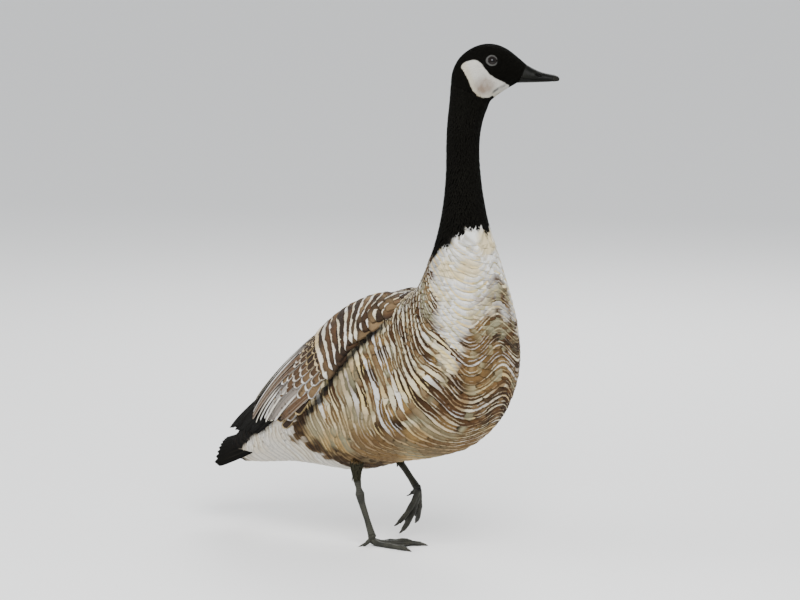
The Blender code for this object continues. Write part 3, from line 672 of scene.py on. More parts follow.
def tube(name, rings):
    """A closed skin over rings with as many points each. Both ends run in to their middle."""
    rings = np.asarray(rings, float)
    rows, columns = rings.shape[:2]
    points = list(rings.reshape(-1, 3)) + [rings[0].mean(0), rings[-1].mean(0)]
    faces = grid_faces(rows, columns)
    for c in range(columns):
        n = (c + 1) % columns
        faces.append((c, n, rows * columns))
        base = (rows - 1) * columns
        faces.append((base + n, base + c, rows * columns + 1))
    obj = mesh_object(name, points, faces)
    face_outwards(obj)
    return obj


def limb_frames(points):
    """The way a path runs, and two directions across it, at each of its points."""
    points = np.asarray(points, float)
    ahead = unit(np.gradient(points, axis=0))
    side = np.cross(ahead, np.array((0.0, 0.0, 1.0)))
    weak = np.linalg.norm(side, axis=-1) < 0.2
    side[weak] = np.cross(ahead[weak], np.array((1.0, 0.0, 0.0)))
    side = unit(side)
    return ahead, side, unit(np.cross(side, ahead))


def keep_union(base, others):
    """Joins closed meshes into base with one union, and removes them."""
    joined = bpy.data.collections.new("joined")
    for other in others:
        joined.objects.link(other)
    union = base.modifiers.new("union", "BOOLEAN")
    union.operation, union.operand_type = "UNION", "COLLECTION"
    union.collection, union.solver = joined, "MANIFOLD"
    plain_mesh(base)
    for other in others:
        bpy.data.objects.remove(other, do_unlink=True)
    bpy.data.collections.remove(joined)


def plain_mesh(obj):
    """Turns what the modifiers show into the object's own mesh."""
    graph = bpy.context.evaluated_depsgraph_get()
    mesh = bpy.data.meshes.new_from_object(obj.evaluated_get(graph))
    obj.modifiers.clear()
    obj.data = mesh
    mesh.name = obj.name


def dress(obj, material):
    """Shades an object smooth and gives it one material."""
    obj.data.shade_smooth()
    obj.data.materials.clear()
    obj.data.materials.append(material)


# %% The thighs
# centre line and radius of the feathered thighs, down to where the bare leg begins
THIGHS = {
    "right": np.array((
        (-0.026, -0.044, 0.190, 0.026), (-0.031, -0.0455, 0.152, 0.0175),
        (-0.0355, -0.0455, 0.128, 0.0112), (-0.0378, -0.0435, 0.109, 0.0072),
    )),
    "left": np.array((
        (-0.004, 0.045, 0.182, 0.026), (-0.018, 0.0465, 0.157, 0.0180),
        (-0.0275, 0.0480, 0.141, 0.0135), (-0.0312, 0.0487, 0.1285, 0.0098),
        (-0.0293, 0.0478, 0.1212, 0.0072),
    )),
}
THIGH_DEPTH = 0.0018
THIGH_STEPS = 60  # rows of the fine table of a thigh


def thigh_surface(word):
    """The coat of a thigh: s runs up it from 0, where the bare leg begins, to 1."""
    rows, last = THIGHS[word], THIGH_STEPS - 1
    fine = along(rows, np.linspace(0, len(rows) - 1, THIGH_STEPS))
    _, side, top = limb_frames(fine[:, :3])
    table = np.concatenate((fine, side, top), -1)

    def surface(s, angle):
        s, angle = np.broadcast_arrays(np.asarray(s, float), np.asarray(angle, float))
        row = along(table, (1 - np.clip(s, 0, 1)) * last)
        below = table[last - 1, :3] - table[last, :3]
        c, d = np.cos(angle)[..., None], -np.sin(angle)[..., None]
        middle = row[..., :3] + below * (np.minimum(s, 0) * last)[..., None]
        return middle + (row[..., 4:7] * c + row[..., 7:] * d) * row[..., 3:4]

    return surface


thigh_coats = {word: thigh_surface(word) for word in THIGHS}

# %% One closed skin
SKIN_RINGS, SKIN_COLUMNS = 300, 96
THIGH_RINGS, THIGH_COLUMNS = 30, 32


def ring_places(first, last, rings, columns):
    """Numbers along and round a surface, for rings of points on it."""
    s = np.linspace(first, last, rings)[:, None]
    return s, np.linspace(0, 2 * np.pi, columns, endpoint=False)[None, :]


skin = tube("skin", skin_point(*ring_places(0.0, LAST, SKIN_RINGS, SKIN_COLUMNS)))
leg_parts = []
for coat in thigh_coats.values():
    outer = coat(*ring_places(0, 1, THIGH_RINGS, THIGH_COLUMNS))
    centre = outer.mean(1, keepdims=True)
    leg_parts.append(tube("thigh", outer + unit(centre - outer) * THIGH_DEPTH))
keep_union(skin, leg_parts)
print("skin:", len(skin.data.polygons), "faces")


# %% Where each point of the skin lies on the coat
def vectors(items, field):
    """One vector of each item, such as the place of each point of a mesh."""
    flat = np.empty(len(items) * 3, np.float32)
    items.foreach_get(field, flat)
    return flat.reshape(-1, 3).astype(float)


def move_points(obj, points):
    obj.data.vertices.foreach_set("co", points.astype(np.float32).ravel())


def store(mesh, name, values, domain="POINT"):
    """Stores numbers, vectors or colours on a mesh under a name."""
    values = np.asarray(values, np.float32)
    if values.ndim == 1:
        kind, field = "FLOAT", "value"
    elif values.shape[1] == 2:
        kind, field = "FLOAT2", "vector"
    elif values.shape[1] == 3:
        kind, field = "FLOAT_VECTOR", "vector"
    else:
        kind, field = "FLOAT_COLOR", "color"
    stored = mesh.attributes.new(name, kind, domain)
    stored.data.foreach_set(field, values.ravel())


def with_last(values, last):
    """Rows of numbers, each with one more number at its end."""
    return np.concatenate((values, np.full(values.shape[:-1] + (1,), last)), -1)


NEAR_T, NEAR_ANGLE = np.linspace(0, LAST, 271), np.linspace(-np.pi, np.pi, 97)
near_t, near_angle = np.meshgrid(NEAR_T, NEAR_ANGLE)
near_t, near_angle = near_t.ravel(), near_angle.ravel()
near_points = coat_point(near_t, near_angle)
near = KDTree(len(near_points))
for i, point in enumerate(near_points):
    near.insert(point, i)
near.balance()


def coat_place(points):
    """The t and angle of the coat nearest to each point."""
    found = np.array([near.find(p)[1] for p in points])
    return near_t[found], near_angle[found]


FLUFF_EDGE, FLUFF_DARKER = 0.3, 0.75  # the skin's share of the edge colour, and its tone
skin_points = vectors(skin.data.vertices, "co")
skin_t, skin_angle = coat_place(skin_points)
vane, edge, _ = plumage(skin_t, skin_angle, skin_points, waves(skin_points, 5, 0.01))
store(skin.data, "coat_colour", with_last(mix(vane, edge, FLUFF_EDGE) * FLUFF_DARKER, 1.0))
print("skin colours at", len(skin_points), "points")

# %% [markdown]
# The skin shows only in the chinks between feathers, as fluff of their colour. Its material
# takes the stored colour, broken up by fine noise, and a little relief.

# %% Skin material
down_finish = Finish("down", Roughness=0.9, Specular_IOR_Level=0.05)
fluff = down_finish.noise(down_finish.place(), 900.0, 3.0)
colour = down_finish.stored("coat_colour")
colour = down_finish.blend(fluff * 0.4, colour, (0.004, 0.0036, 0.0032))
dress(skin, down_finish.show(colour, height=fluff, depth=0.0006))

# %% [markdown]
# ## Eyes and lids
# A goose's eye is a dark, wet ball that fills its opening, with a black pupil in a brown
# iris. What gives it life is the clear, glossy front and the rim of bare skin round it. The
# ball is turned so that its pole looks out of the head. Each point then knows its angle from
# that pole, and pupil and iris are steps on that one number.

# %% Eyeballs
BALL_RINGS, BALL_SIDES = 40, 64
PUPIL, IRIS = 0.36, 0.80  # angles from the pole, in radians
CORNEA_HIGH, CORNEA_WIDE = 0.035, 0.5  # share of the radius, and radians
EYE_AHEAD = 0.10  # how far an eye turns from straight out towards the bill


def eye_frame(word):
    """Centre, radius, the way the eye looks, and two directions across it."""
    low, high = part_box("eye_" + word)
    centre = np.array((low + high) / 2)
    out = slopes(coat_point, *coat_place(centre[None, :]))[2][0]
    ahead = turned(np.array((NECK_X + 1, 0, 0)), HEAD_TURN) - np.array((NECK_X, 0, 0))
    out = unit(out + EYE_AHEAD * ahead)
    level = unit(ahead - out * np.dot(ahead, out))
    return centre, (high.x - low.x) / 2, out, level, np.cross(out, level)


eye_finish = Finish(
    "eye", Roughness=0.3, Specular_IOR_Level=0.0, Coat_Weight=1.0, Coat_Roughness=0.01, Coat_IOR=1.28
)
gaze = eye_finish.number("gaze")
rays = eye_finish.noise(eye_finish.stored("ray"), 9.0, 4.0)
iris = eye_finish.blend(rays, (0.0018, 0.0009, 0.0005), (0.0060, 0.0027, 0.0012))
iris = eye_finish.blend(gaze.steps(IRIS - 0.12, IRIS), iris, (0.0014, 0.0012, 0.0010))
iris = eye_finish.blend(gaze.steps(PUPIL + 0.03, PUPIL - 0.02), iris, (0.001, 0.001, 0.001))
eye_material = eye_finish.show(iris)

eyes = []
for word in ("left", "right"):
    centre, radius, out, level, upright = eye_frame(word)
    polar, round_it = ring_places(0.02, math.pi - 0.02, BALL_RINGS, BALL_SIDES)
    reach = radius * (1 + CORNEA_HIGH * np.exp(-((polar / CORNEA_WIDE) ** 2)))
    flat = level * np.cos(round_it)[..., None] + upright * np.sin(round_it)[..., None]
    ball = out * np.cos(polar)[..., None] + flat * np.sin(polar)[..., None]
    eye = tube("eyeball_" + word, centre + ball * reach[..., None])
    gazes = np.concatenate((np.repeat(polar.ravel(), BALL_SIDES), (0, math.pi)))
    ray = np.stack((np.cos(round_it), np.sin(round_it), 0 * round_it), -1)
    rays_at = np.concatenate((np.tile(ray[0], (BALL_RINGS, 1)), ((0, 0, 0), (0, 0, 0))))
    store(eye.data, "gaze", gazes)
    store(eye.data, "ray", rays_at + gazes[:, None] * 0.15)
    dress(eye, eye_material)
    eyes.append(eye)
print("eyes at", [eye_frame(w)[0].round(4).tolist() for w in ("left", "right")])

# %% [markdown]
# The lids are a rim of grey skin round the ball, drawn to a point in front and behind. A
# ring follows the ball's surface at the width of the opening, thicker above, where the upper
# lid folds, and pebbled like real lid skin.

# %% Lids
LID_OPEN, LID_THICK = 0.0074, 0.0011
LID_SIDES, LID_ROUND = 120, 14
lid_finish = Finish("lid_skin", Roughness=0.55)
pebble = lid_finish.cells("F1", 1900.0)
tone = lid_finish.blend(pebble, (0.048, 0.047, 0.041), (0.015, 0.0147, 0.013))
lid_material = lid_finish.show(tone, height=pebble, depth=0.0003)


def lid_rings(word):
    """Rings of points round the opening of an eye."""
    centre, radius, out, level, upright = eye_frame(word)
    rings = []
    for a in np.linspace(0, 2 * np.pi, LID_SIDES, endpoint=False):
        corner = abs(math.cos(a)) ** 10
        wide = LID_OPEN * (1.0 + 0.04 * corner - 0.05 * math.sin(a) ** 2)
        polar = math.asin(min(wide / radius, 0.99))
        flat = level * math.cos(a) + upright * math.sin(a)
        middle = centre + (out * math.cos(polar) + flat * math.sin(polar)) * (radius + 0.0002)
        thick = LID_THICK * (1 + 0.22 * max(math.sin(a), 0))
        outer = unit(flat - out * 0.45)
        ring = []
        for b in np.linspace(0, 2 * np.pi, LID_ROUND, endpoint=False):
            fold = 1 + 0.10 * math.cos(3 * b)
            spread = outer * math.cos(b) * (1.2 + 0.35 * corner * max(math.cos(b), 0))
            ring.append(middle + (spread + out * math.sin(b) * 0.75) * thick * fold)
        rings.append(ring)
    return np.array(rings)


lids = []
for word in ("left", "right"):
    rings = lid_rings(word)
    faces = grid_faces(LID_SIDES, LID_ROUND, ring=True)
    lid = mesh_object("lids_" + word, rings.reshape(-1, 3), faces)
    face_outwards(lid)
    dress(lid, lid_material)
    lids.append(lid)
    print(lid.name, len(faces), "faces")


# %% [markdown]
# ## The bill
# The bill is horn over bone: a deep base that slopes to a flat tip with a hard nail, a slit
# nostril on each side and, along its edges, the small ridges with which a goose cuts grass.
# Both halves are lofts over sections of the bill. The details are moves of the loft's own
# points, so they follow its curves.

# %% Bill
# culmen x z, mouth line x z, underside x z, half width, before the head is turned
BILL = np.array((
    (0.227, 0.7375, 0.2195, 0.7180, 0.2138, 0.7100, 0.0130),
    (0.237, 0.7318, 0.2300, 0.7167, 0.226, 0.7103, 0.0123),
    (0.248, 0.7268, 0.2430, 0.7155, 0.240, 0.7107, 0.0112),
    (0.259, 0.7240, 0.2560, 0.7148, 0.2535, 0.7112, 0.0103),
    (0.2685, 0.7218, 0.2665, 0.7144, 0.2645, 0.7117, 0.0090),
    (0.274, 0.7192, 0.2725, 0.7139, 0.270, 0.7121, 0.0063),
    (0.2765, 0.7160, 0.2755, 0.7132, 0.2725, 0.7124, 0.0028),
))
BILL_ROWS, BILL_SIDES = 190, 40
HALF_GAP = 0.00015
UNDER_NARROWER = 0.93
NAIL_X, NAIL_SIDE, NAIL_HIGH = 0.2665, 0.00012, 0.00022
GROOVE_DEEP, GROOVE_WIDE = 0.00022, 0.0007  # the line round the nail
RIDGE_SPACE, RIDGE_DEEP = 0.0016, 0.00035
NOSTRIL = np.array((0.245, 0.7222))
NOSTRIL_SLOPE, NOSTRIL_LONG, NOSTRIL_HIGH = 0.35, 0.0046, 0.0017
NOSTRIL_DEEP, NOSTRIL_RIM = 0.0026, 0.00025


def from_nostril(x, z):
    """How far points lie from the nostril, 1 where its slit ends."""
    dx, dz = x - NOSTRIL[0], z - NOSTRIL[1]
    c, s = math.cos(NOSTRIL_SLOPE), math.sin(NOSTRIL_SLOPE)
    return ((dx * c - dz * s) / NOSTRIL_LONG) ** 2 + ((dx * s + dz * c) / NOSTRIL_HIGH) ** 2


def bill_half(upper):
    """Rings of one half of the bill, and how much each point is nail and nostril."""
    rows = along(BILL, np.linspace(0, len(BILL) - 1, BILL_ROWS))
    zero = np.zeros(len(rows))
    mouth = np.stack((rows[:, 2], zero, rows[:, 3]), -1)
    column = 0 if upper else 4
    far = np.stack((rows[:, column], zero, rows[:, column + 1]), -1)
    gap = unit(far - mouth) * HALF_GAP
    half = rows[:, 6] * (1.0 if upper else UNDER_NARROWER)
    a = np.linspace(0, np.pi, BILL_SIDES + 1)
    rise = np.sin(a) ** 0.8
    rings = (mouth + gap)[:, None] + (far - mouth - gap)[:, None] * rise[None, :, None]
    rings[..., 1] += half[:, None] * np.cos(a)[None, :]
    x, z = rings[..., 0], rings[..., 2]
    side = np.cos(a)[None, :]
    along_mouth = ease((NAIL_X - x) / 0.004) * ease((x - 0.224) / 0.004)
    edge = ease((0.34 - rise) / 0.2)[None, :] * along_mouth
    ridges = edge * (0.5 + 0.5 * np.sin(x * 2 * np.pi / RIDGE_SPACE)) * RIDGE_DEEP
    nail = ease((x - NAIL_X) / 0.0012)
    groove = np.exp(-(((x - NAIL_X) / GROOVE_WIDE) ** 2)) * GROOVE_DEEP
    rings[..., 1] += np.sign(side) * np.abs(side) ** 0.5 * (nail * NAIL_SIDE - groove - ridges)
    rings[..., 2] += (1 if upper else -1) * rise[None, :] * (nail * NAIL_HIGH - groove)
    pit = 0 * x
    if upper:
        away = from_nostril(x, z)
        pit = np.exp(-(away**2))
        rim = np.exp(-(((np.sqrt(away) - 1.35) / 0.35) ** 2))
        sink = pit * NOSTRIL_DEEP - rim * NOSTRIL_RIM
        rings[..., 1] -= np.sign(side) * np.abs(side) ** 0.3 * sink
    return turned(rings, HEAD_TURN), nail, pit


bill_finish = Finish("bill_horn", Specular_IOR_Level=0.08)
spot = bill_finish.place()
cloud = bill_finish.noise(spot, 90.0, 5.0)
grain = bill_finish.noise(bill_finish.stretched(spot, (380.0, 380.0, 1500.0)), 1.0, 4.0)
horn = bill_finish.blend(cloud.steps(0.40, 0.7), (0.0016, 0.0017, 0.0012), (0.0044, 0.0046, 0.0032))
horn = bill_finish.blend(grain * 0.25, horn, (0.007, 0.007, 0.005))
horn = bill_finish.blend(bill_finish.number("nail") * 0.4, horn, (0.018, 0.017, 0.013))
# painted shade: the nostril's pit is coloured near black
horn = bill_finish.blend(bill_finish.number("pit"), horn, (0.001, 0.001, 0.001))
bill_material = bill_finish.show(horn, 0.30 + grain * 0.25, grain + cloud * 0.5, 0.00025)

bill = []
for name, upper in (("bill_top", True), ("bill_under", False)):
    rings, nail, pit = bill_half(upper)
    piece = tube(name, rings)
    store(piece.data, "nail", np.concatenate((nail.ravel(), (0, 1))))
    store(piece.data, "pit", np.concatenate((pit.ravel(), (0, 0))))
    dress(piece, bill_material)
    bill.append(piece)
    print(name, len(piece.data.polygons), "faces")


# %% [markdown]
# ## Legs and feet
# A goose walks on its toes. The bare part of its leg is wrapped in small leathery plates,
# which are broad on the front and on top of the toes and like beads elsewhere, and a thin web
# joins three toes. The solids give the true shape with few faces. A copy of each is wrapped
# in a fine even mesh and smoothed, which melts the web into the toes as skin does, and then
# the plates are raised on it along the line of each bone.


# %% Copies of the solids
def node_copy(name, node):
    """A merged copy of a solid."""
    mesh = frame["nodes"][node].data
    obj = mesh_object(name, [v.co for v in mesh.vertices], [p.vertices for p in mesh.polygons])
    work = bmesh.new()
    work.from_mesh(obj.data)
    bmesh.ops.remove_doubles(work, verts=work.verts, dist=1e-6)
    work.to_mesh(obj.data)
    work.free()
    return obj


def fine_skin(obj, voxel, rounds):
    """Wraps an object in an even mesh and smooths it."""
    remesh = obj.modifiers.new("even", "REMESH")
    remesh.mode, remesh.voxel_size = "VOXEL", voxel
    smooth = obj.modifiers.new("smooth", "SMOOTH")
    smooth.factor, smooth.iterations = 0.5, rounds
    plain_mesh(obj)
    return obj


# %% Bones that the plates follow
def claw_places(word):
    """The middle of each claw of a foot, measured on the solids."""
    places = {}
    for toe in ("inner", "middle", "outer", "hind"):
        low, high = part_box(f"claw_{toe}_{word}")
        places[toe] = np.array((low + high) / 2)
    return places


SHANK_LINES = {
    "right": np.array((
        (-0.0378, -0.0435, 0.109), (-0.0372, -0.0412, 0.096), (-0.0358, -0.0385, 0.081),
        (-0.0350, -0.0345, 0.066), (-0.0300, -0.0290, 0.042), (-0.0272, -0.0243, 0.024),
        (-0.0263, -0.0215, 0.013),
    )),
    "left": np.array((
        (-0.0293, 0.0478, 0.1212), (-0.0180, 0.0468, 0.1090), (-0.0057, 0.046, 0.0965),
        (0.0040, 0.046, 0.0858), (0.0082, 0.046, 0.0811),
    )),
}
KNUCKLES = {word: line[-1] for word, line in SHANK_LINES.items()}


def along_lines(points, lines):
    """Distance along the nearest of some lines, and distance from it."""
    best, run_at = np.full(len(points), 1e9), np.zeros(len(points))
    for line in lines:
        start = 0.0
        for a, b in zip(line[:-1], line[1:]):
            length = np.linalg.norm(b - a)
            share = np.clip((points - a) @ (b - a) / length**2, 0, 1)
            away = np.linalg.norm(points - a - share[:, None] * (b - a), axis=-1)
            nearer = away < best
            best = np.where(nearer, away, best)
            run_at = np.where(nearer, start + share * length, run_at)
            start += length
    return run_at, best


# %% Plates
PLATE_REACH = 0.0085  # how far from its bone a plate ends


def raise_plates(obj, lines, space, front, height):
    """Moves the skin out in plates along some lines, on the side that faces front."""
    points, normals = vectors(obj.data.vertices, "co"), vectors(obj.data.vertex_normals, "vector")
    run, away = along_lines(points, lines)
    facing = ease((normals @ unit(np.array(front)) + 0.05) / 0.5)
    plates = facing * ease((PLATE_REACH - away) / 0.003)
    wave = np.abs(np.sin(np.pi * run / space)) ** 0.45
    moved = points + normals * (height * (wave - 0.75) * plates)[:, None]
    moved[:, 2] = np.maximum(moved[:, 2], 0.0)
    move_points(obj, moved)
    store(obj.data, "plates", plates)
    # the grooves, which the leg's material darkens with painted shade
    store(obj.data, "groove", (1 - wave) * plates)


# %% Leg skin
leg_finish = Finish("leg_skin", Roughness=0.5, Specular_IOR_Level=0.2)
bead = leg_finish.cells("DISTANCE_TO_EDGE", 620.0).steps(0.0, 0.16)
cloud = leg_finish.noise(leg_finish.place(), 60.0, 4.0)
plates, groove = leg_finish.number("plates"), leg_finish.number("groove")
skin_tone = leg_finish.blend(cloud.steps(0.3, 0.7), (0.016, 0.016, 0.012), (0.042, 0.041, 0.030))
# painted shade: the creases between the beads are darkened
skin_tone = leg_finish.blend((1 - bead) * 0.55 * (1 - plates * 0.8), skin_tone, (0.006, 0.006, 0.005))
# painted shade: the grooves between the plates are darkened
skin_tone = leg_finish.blend(groove * 0.8, skin_tone, (0.005, 0.005, 0.004))
leg_height = bead * (1 - plates * 0.85) + cloud * 0.25
leg_material = leg_finish.show(skin_tone, 0.42 + cloud * 0.2, leg_height, 0.0004)

# %% Shanks and feet
FOOT_SPACE, FOOT_HEIGHT, FOOT_VOXEL = 0.0026, 0.00045, 0.00075
SHANK_SPACE, SHANK_HEIGHT, SHANK_VOXEL = 0.0032, 0.000495, 0.0007
SMOOTH_ROUNDS = 6
SHANK_FRONT = {"right": (0.8, -0.4, 0.45), "left": (0.7, 0.0, 0.7)}
TOE_TOP = {"right": (0.1, 0, 1), "left": (0.9, 0, -0.35)}  # the left foot hangs down
legs = []
for word in ("right", "left"):
    toes = [np.linspace(KNUCKLES[word], claw, 8) for claw in claw_places(word).values()]
    foot = fine_skin(node_copy("foot_skin_" + word, "foot_" + word), FOOT_VOXEL, SMOOTH_ROUNDS)
    raise_plates(foot, toes, FOOT_SPACE, TOE_TOP[word], FOOT_HEIGHT)
    shank = fine_skin(node_copy("shank_skin_" + word, "shank_" + word), SHANK_VOXEL, SMOOTH_ROUNDS)
    raise_plates(shank, [SHANK_LINES[word]], SHANK_SPACE, SHANK_FRONT[word], SHANK_HEIGHT)
    for piece in (foot, shank):
        dress(piece, leg_material)
        legs.append(piece)
        print(piece.name, len(piece.data.polygons), "faces")


# %% [markdown]
# Claws are worn, slightly translucent horn, darker at the root; here the horn is drawn as fine layers
# of darker and paler tone. The solids' eight-sided claws are rounded by subdivision, and their roots
# are set a little deeper into the toes.

# %% Claws
claw_finish = Finish("claw_horn", Roughness=0.32, Specular_IOR_Level=0.25)
layers = claw_finish.stretched(claw_finish.place(), (300.0, 300.0, 1100.0))
layers = claw_finish.noise(layers, 1.0, 3.0)
horn = claw_finish.blend(layers, (0.010, 0.010, 0.008), (0.045, 0.040, 0.030))
claw_material = claw_finish.show(horn, 0.28 + layers * 0.3, layers, 0.0002)
ROOT_DEEPER = 0.0018
claws = []
for word in ("left", "right"):
    for toe, place in claw_places(word).items():
        claw = node_copy(f"claw_horn_{toe}_{word}", f"claw_{toe}_{word}")
        points, outwards = vectors(claw.data.vertices, "co"), unit(place - KNUCKLES[word])
        rear = ease(0.5 - (points - points.mean(0)) @ outwards / 0.003)
        move_points(claw, points - outwards * (ROOT_DEEPER * rear)[:, None])
        rounder = claw.modifiers.new("round", "SUBSURF")
        rounder.levels = rounder.render_levels = 2
        plain_mesh(claw)
        dress(claw, claw_material)
        claws.append(claw)
print(len(claws), "claws")

# %% [markdown]
# ## Laying feathers on the body
# So many feathers can't be placed by hand, and stiff copies would stick out of a
# round body. So each feather is first laid out flat, on the unwrapped coat, where it is only
# a root, a direction and a width. Geometry Nodes then put one feather at each root and look
# up, for each of its points, where that spot of the unwrap lies on the bird: the feather
# wraps itself round the body. Its root starts deep in the plumage and its tip ends on top.


# %% The unwrapped coat, as a mesh that knows both its flat and its real place
class Coat:
    """A stretch of surface, with a flat map of it."""

    def __init__(self, name, surface, t_range, s_range, steps):
        self.surface = surface
        self.low = np.array((s_range[0], t_range[0]), float)
        self.span = np.array((s_range[1] - s_range[0], t_range[1] - t_range[0]), float)
        t = np.linspace(*t_range, steps[0])[:, None]
        s = np.linspace(*s_range, steps[1])[None, :]
        t, s = np.broadcast_arrays(t, s)
        points, facing = surface(t, s), slopes(surface, t, s)[2]
        faces = grid_faces(steps[0], steps[1], wrap=False)
        self.obj = mesh_object(name, points.reshape(-1, 3), faces)
        store(self.obj.data, "flat", with_last(self.flat(t, s), 0.0).reshape(-1, 3))
        store(self.obj.data, "facing", facing.reshape(-1, 3))

    def flat(self, t, s):
        """Places on the map, between 0 and 1."""
        return (np.stack((s, t), -1) - self.low) / self.span


body_coat = Coat("body_map", coat_point, (-2.0, 28.2), (-4.0, 4.0), (320, 200))

# %% One feather
ARCH, THICK, BULGE, FRAY = 0.035, 0.014, 0.045, 0.012  # shares of a feather's length


def unit_feather(name, outline, strips):
    """A thin closed feather of length 1 and width 1 along X. outline gives half its width
    at shares of its length."""
    outline = np.asarray(outline, float)
    rows, columns = len(outline), strips + 1
    across = np.linspace(-1, 1, columns)
    leaf, where, points = [], [], {}
    for layer in (1, -1):
        for r, (share, half) in enumerate(outline):
            for c, wide in enumerate(across):
                rim = r in (0, rows - 1) or c in (0, columns - 1)
                frayed = FRAY * (c % 2) * (r == rows - 1)
                if layer < 0 and rim:
                    points[layer, r, c] = points[1, r, c]
                    continue
                points[layer, r, c] = len(leaf)
                body = 0 if rim else THICK * layer / 2
                bow = ARCH * (1 - wide**2) * half * 2
                curve = BULGE * wide**2 * share**3
                leaf.append((share - frayed - curve, wide * half, bow + body))
                where.append((share, wide))
    faces = []
    for layer in (1, -1):
        for r in range(rows - 1):
            for c in range(columns - 1):
                corners = [points[layer, r, c], points[layer, r + 1, c]]
                corners += [points[layer, r + 1, c + 1], points[layer, r, c + 1]]
                faces.append(corners if layer < 0 else corners[::-1])
    obj = mesh_object(name, leaf, faces)
    face_outwards(obj)
    where = np.array(where)
    store(obj.data, "leaf", np.array(leaf))
    store(obj.data, "along", where[:, 0])
    store(obj.data, "across", where[:, 1])
    store(obj.data, "beside", np.abs(where[:, 1]))
    return obj


SHAPES = {  # strips across, then half its width at shares of its length
    "contour": (4, ((0, 0.18), (0.25, 0.38), (0.60, 0.50), (0.86, 0.50), (0.96, 0.46), (1.0, 0.36))),
    "covert": (4, ((0, 0.20), (0.25, 0.40), (0.60, 0.50), (0.84, 0.46), (0.95, 0.34), (1.0, 0.16))),
    "small": (2, ((0, 0.22), (0.45, 0.50), (0.80, 0.34), (1.0, 0.06))),
}
feathers = {}
for name, (strips, outline) in SHAPES.items():
    feathers[name] = unit_feather(name + "_feather", outline, strips)
print({name: len(f.data.polygons) for name, f in feathers.items()}, "faces a feather")


# %% The nodes that wrap feathers round the body
class Tree:
    """A Geometry Nodes tree, written one node to a line."""

    def __init__(self, name, inputs):
        self.tree = bpy.data.node_groups.new(name, "GeometryNodeTree")
        face = self.tree.interface
        face.new_socket("Geometry", in_out="INPUT", socket_type="NodeSocketGeometry")
        for key, kind in inputs.items():
            face.new_socket(key, in_out="INPUT", socket_type=kind)
        face.new_socket("Geometry", in_out="OUTPUT", socket_type="NodeSocketGeometry")
        self.start = self.tree.nodes.new("NodeGroupInput")
        self.end = self.tree.nodes.new("NodeGroupOutput")

    def add(self, kind, settings, out=0, **named):
        """Adds a node. Its inputs are given by name, with _ for a blank or by position."""
        made = self.tree.nodes.new(kind)
        for key, value in settings.items():
            setattr(made, key, value)
        usable = [s for s in made.inputs if s.enabled]
        for key, value in named.items():
            if key.startswith("in"):
                socket = usable[int(key[2:])]
            else:
                socket = next(s for s in usable if s.name == key.replace("_", " "))
            if isinstance(value, bpy.types.NodeSocket):
                self.tree.links.new(value, socket)
            else:
                socket.default_value = value
        return [s for s in made.outputs if s.enabled][out]

    def named(self, name, kind="FLOAT_VECTOR"):
        return self.add("GeometryNodeInputNamedAttribute", {"data_type": kind}, in0=name)

    def keep(self, geometry, name, value, **settings):
        """Stores a value on a geometry under a name."""
        kind = "GeometryNodeStoreNamedAttribute"
        return self.add(kind, settings, Geometry=geometry, Name=name, Value=value)

    def vector(self, operation, a, b):
        return self.add("ShaderNodeVectorMath", {"operation": operation}, in0=a, in1=b)

    def scaled(self, vector, factor):
        return self.add("ShaderNodeVectorMath", {"operation": "SCALE"}, in0=vector, Scale=factor)

    def math(self, operation, a, b=0.0):
        return self.add("ShaderNodeMath", {"operation": operation}, in0=a, in1=b)

    def parts(self, vector):
        """The three numbers of a vector."""
        x = self.add("ShaderNodeSeparateXYZ", {}, in0=vector)
        return x.node.outputs[0], x.node.outputs[1], x.node.outputs[2]

    def finish(self, geometry):
        self.tree.links.new(geometry, self.end.inputs[0])

    def identifier(self, name):
        for item in self.tree.interface.items_tree:
            if item.name == name and item.in_out == "INPUT":
                return item.identifier
        raise KeyError(name)


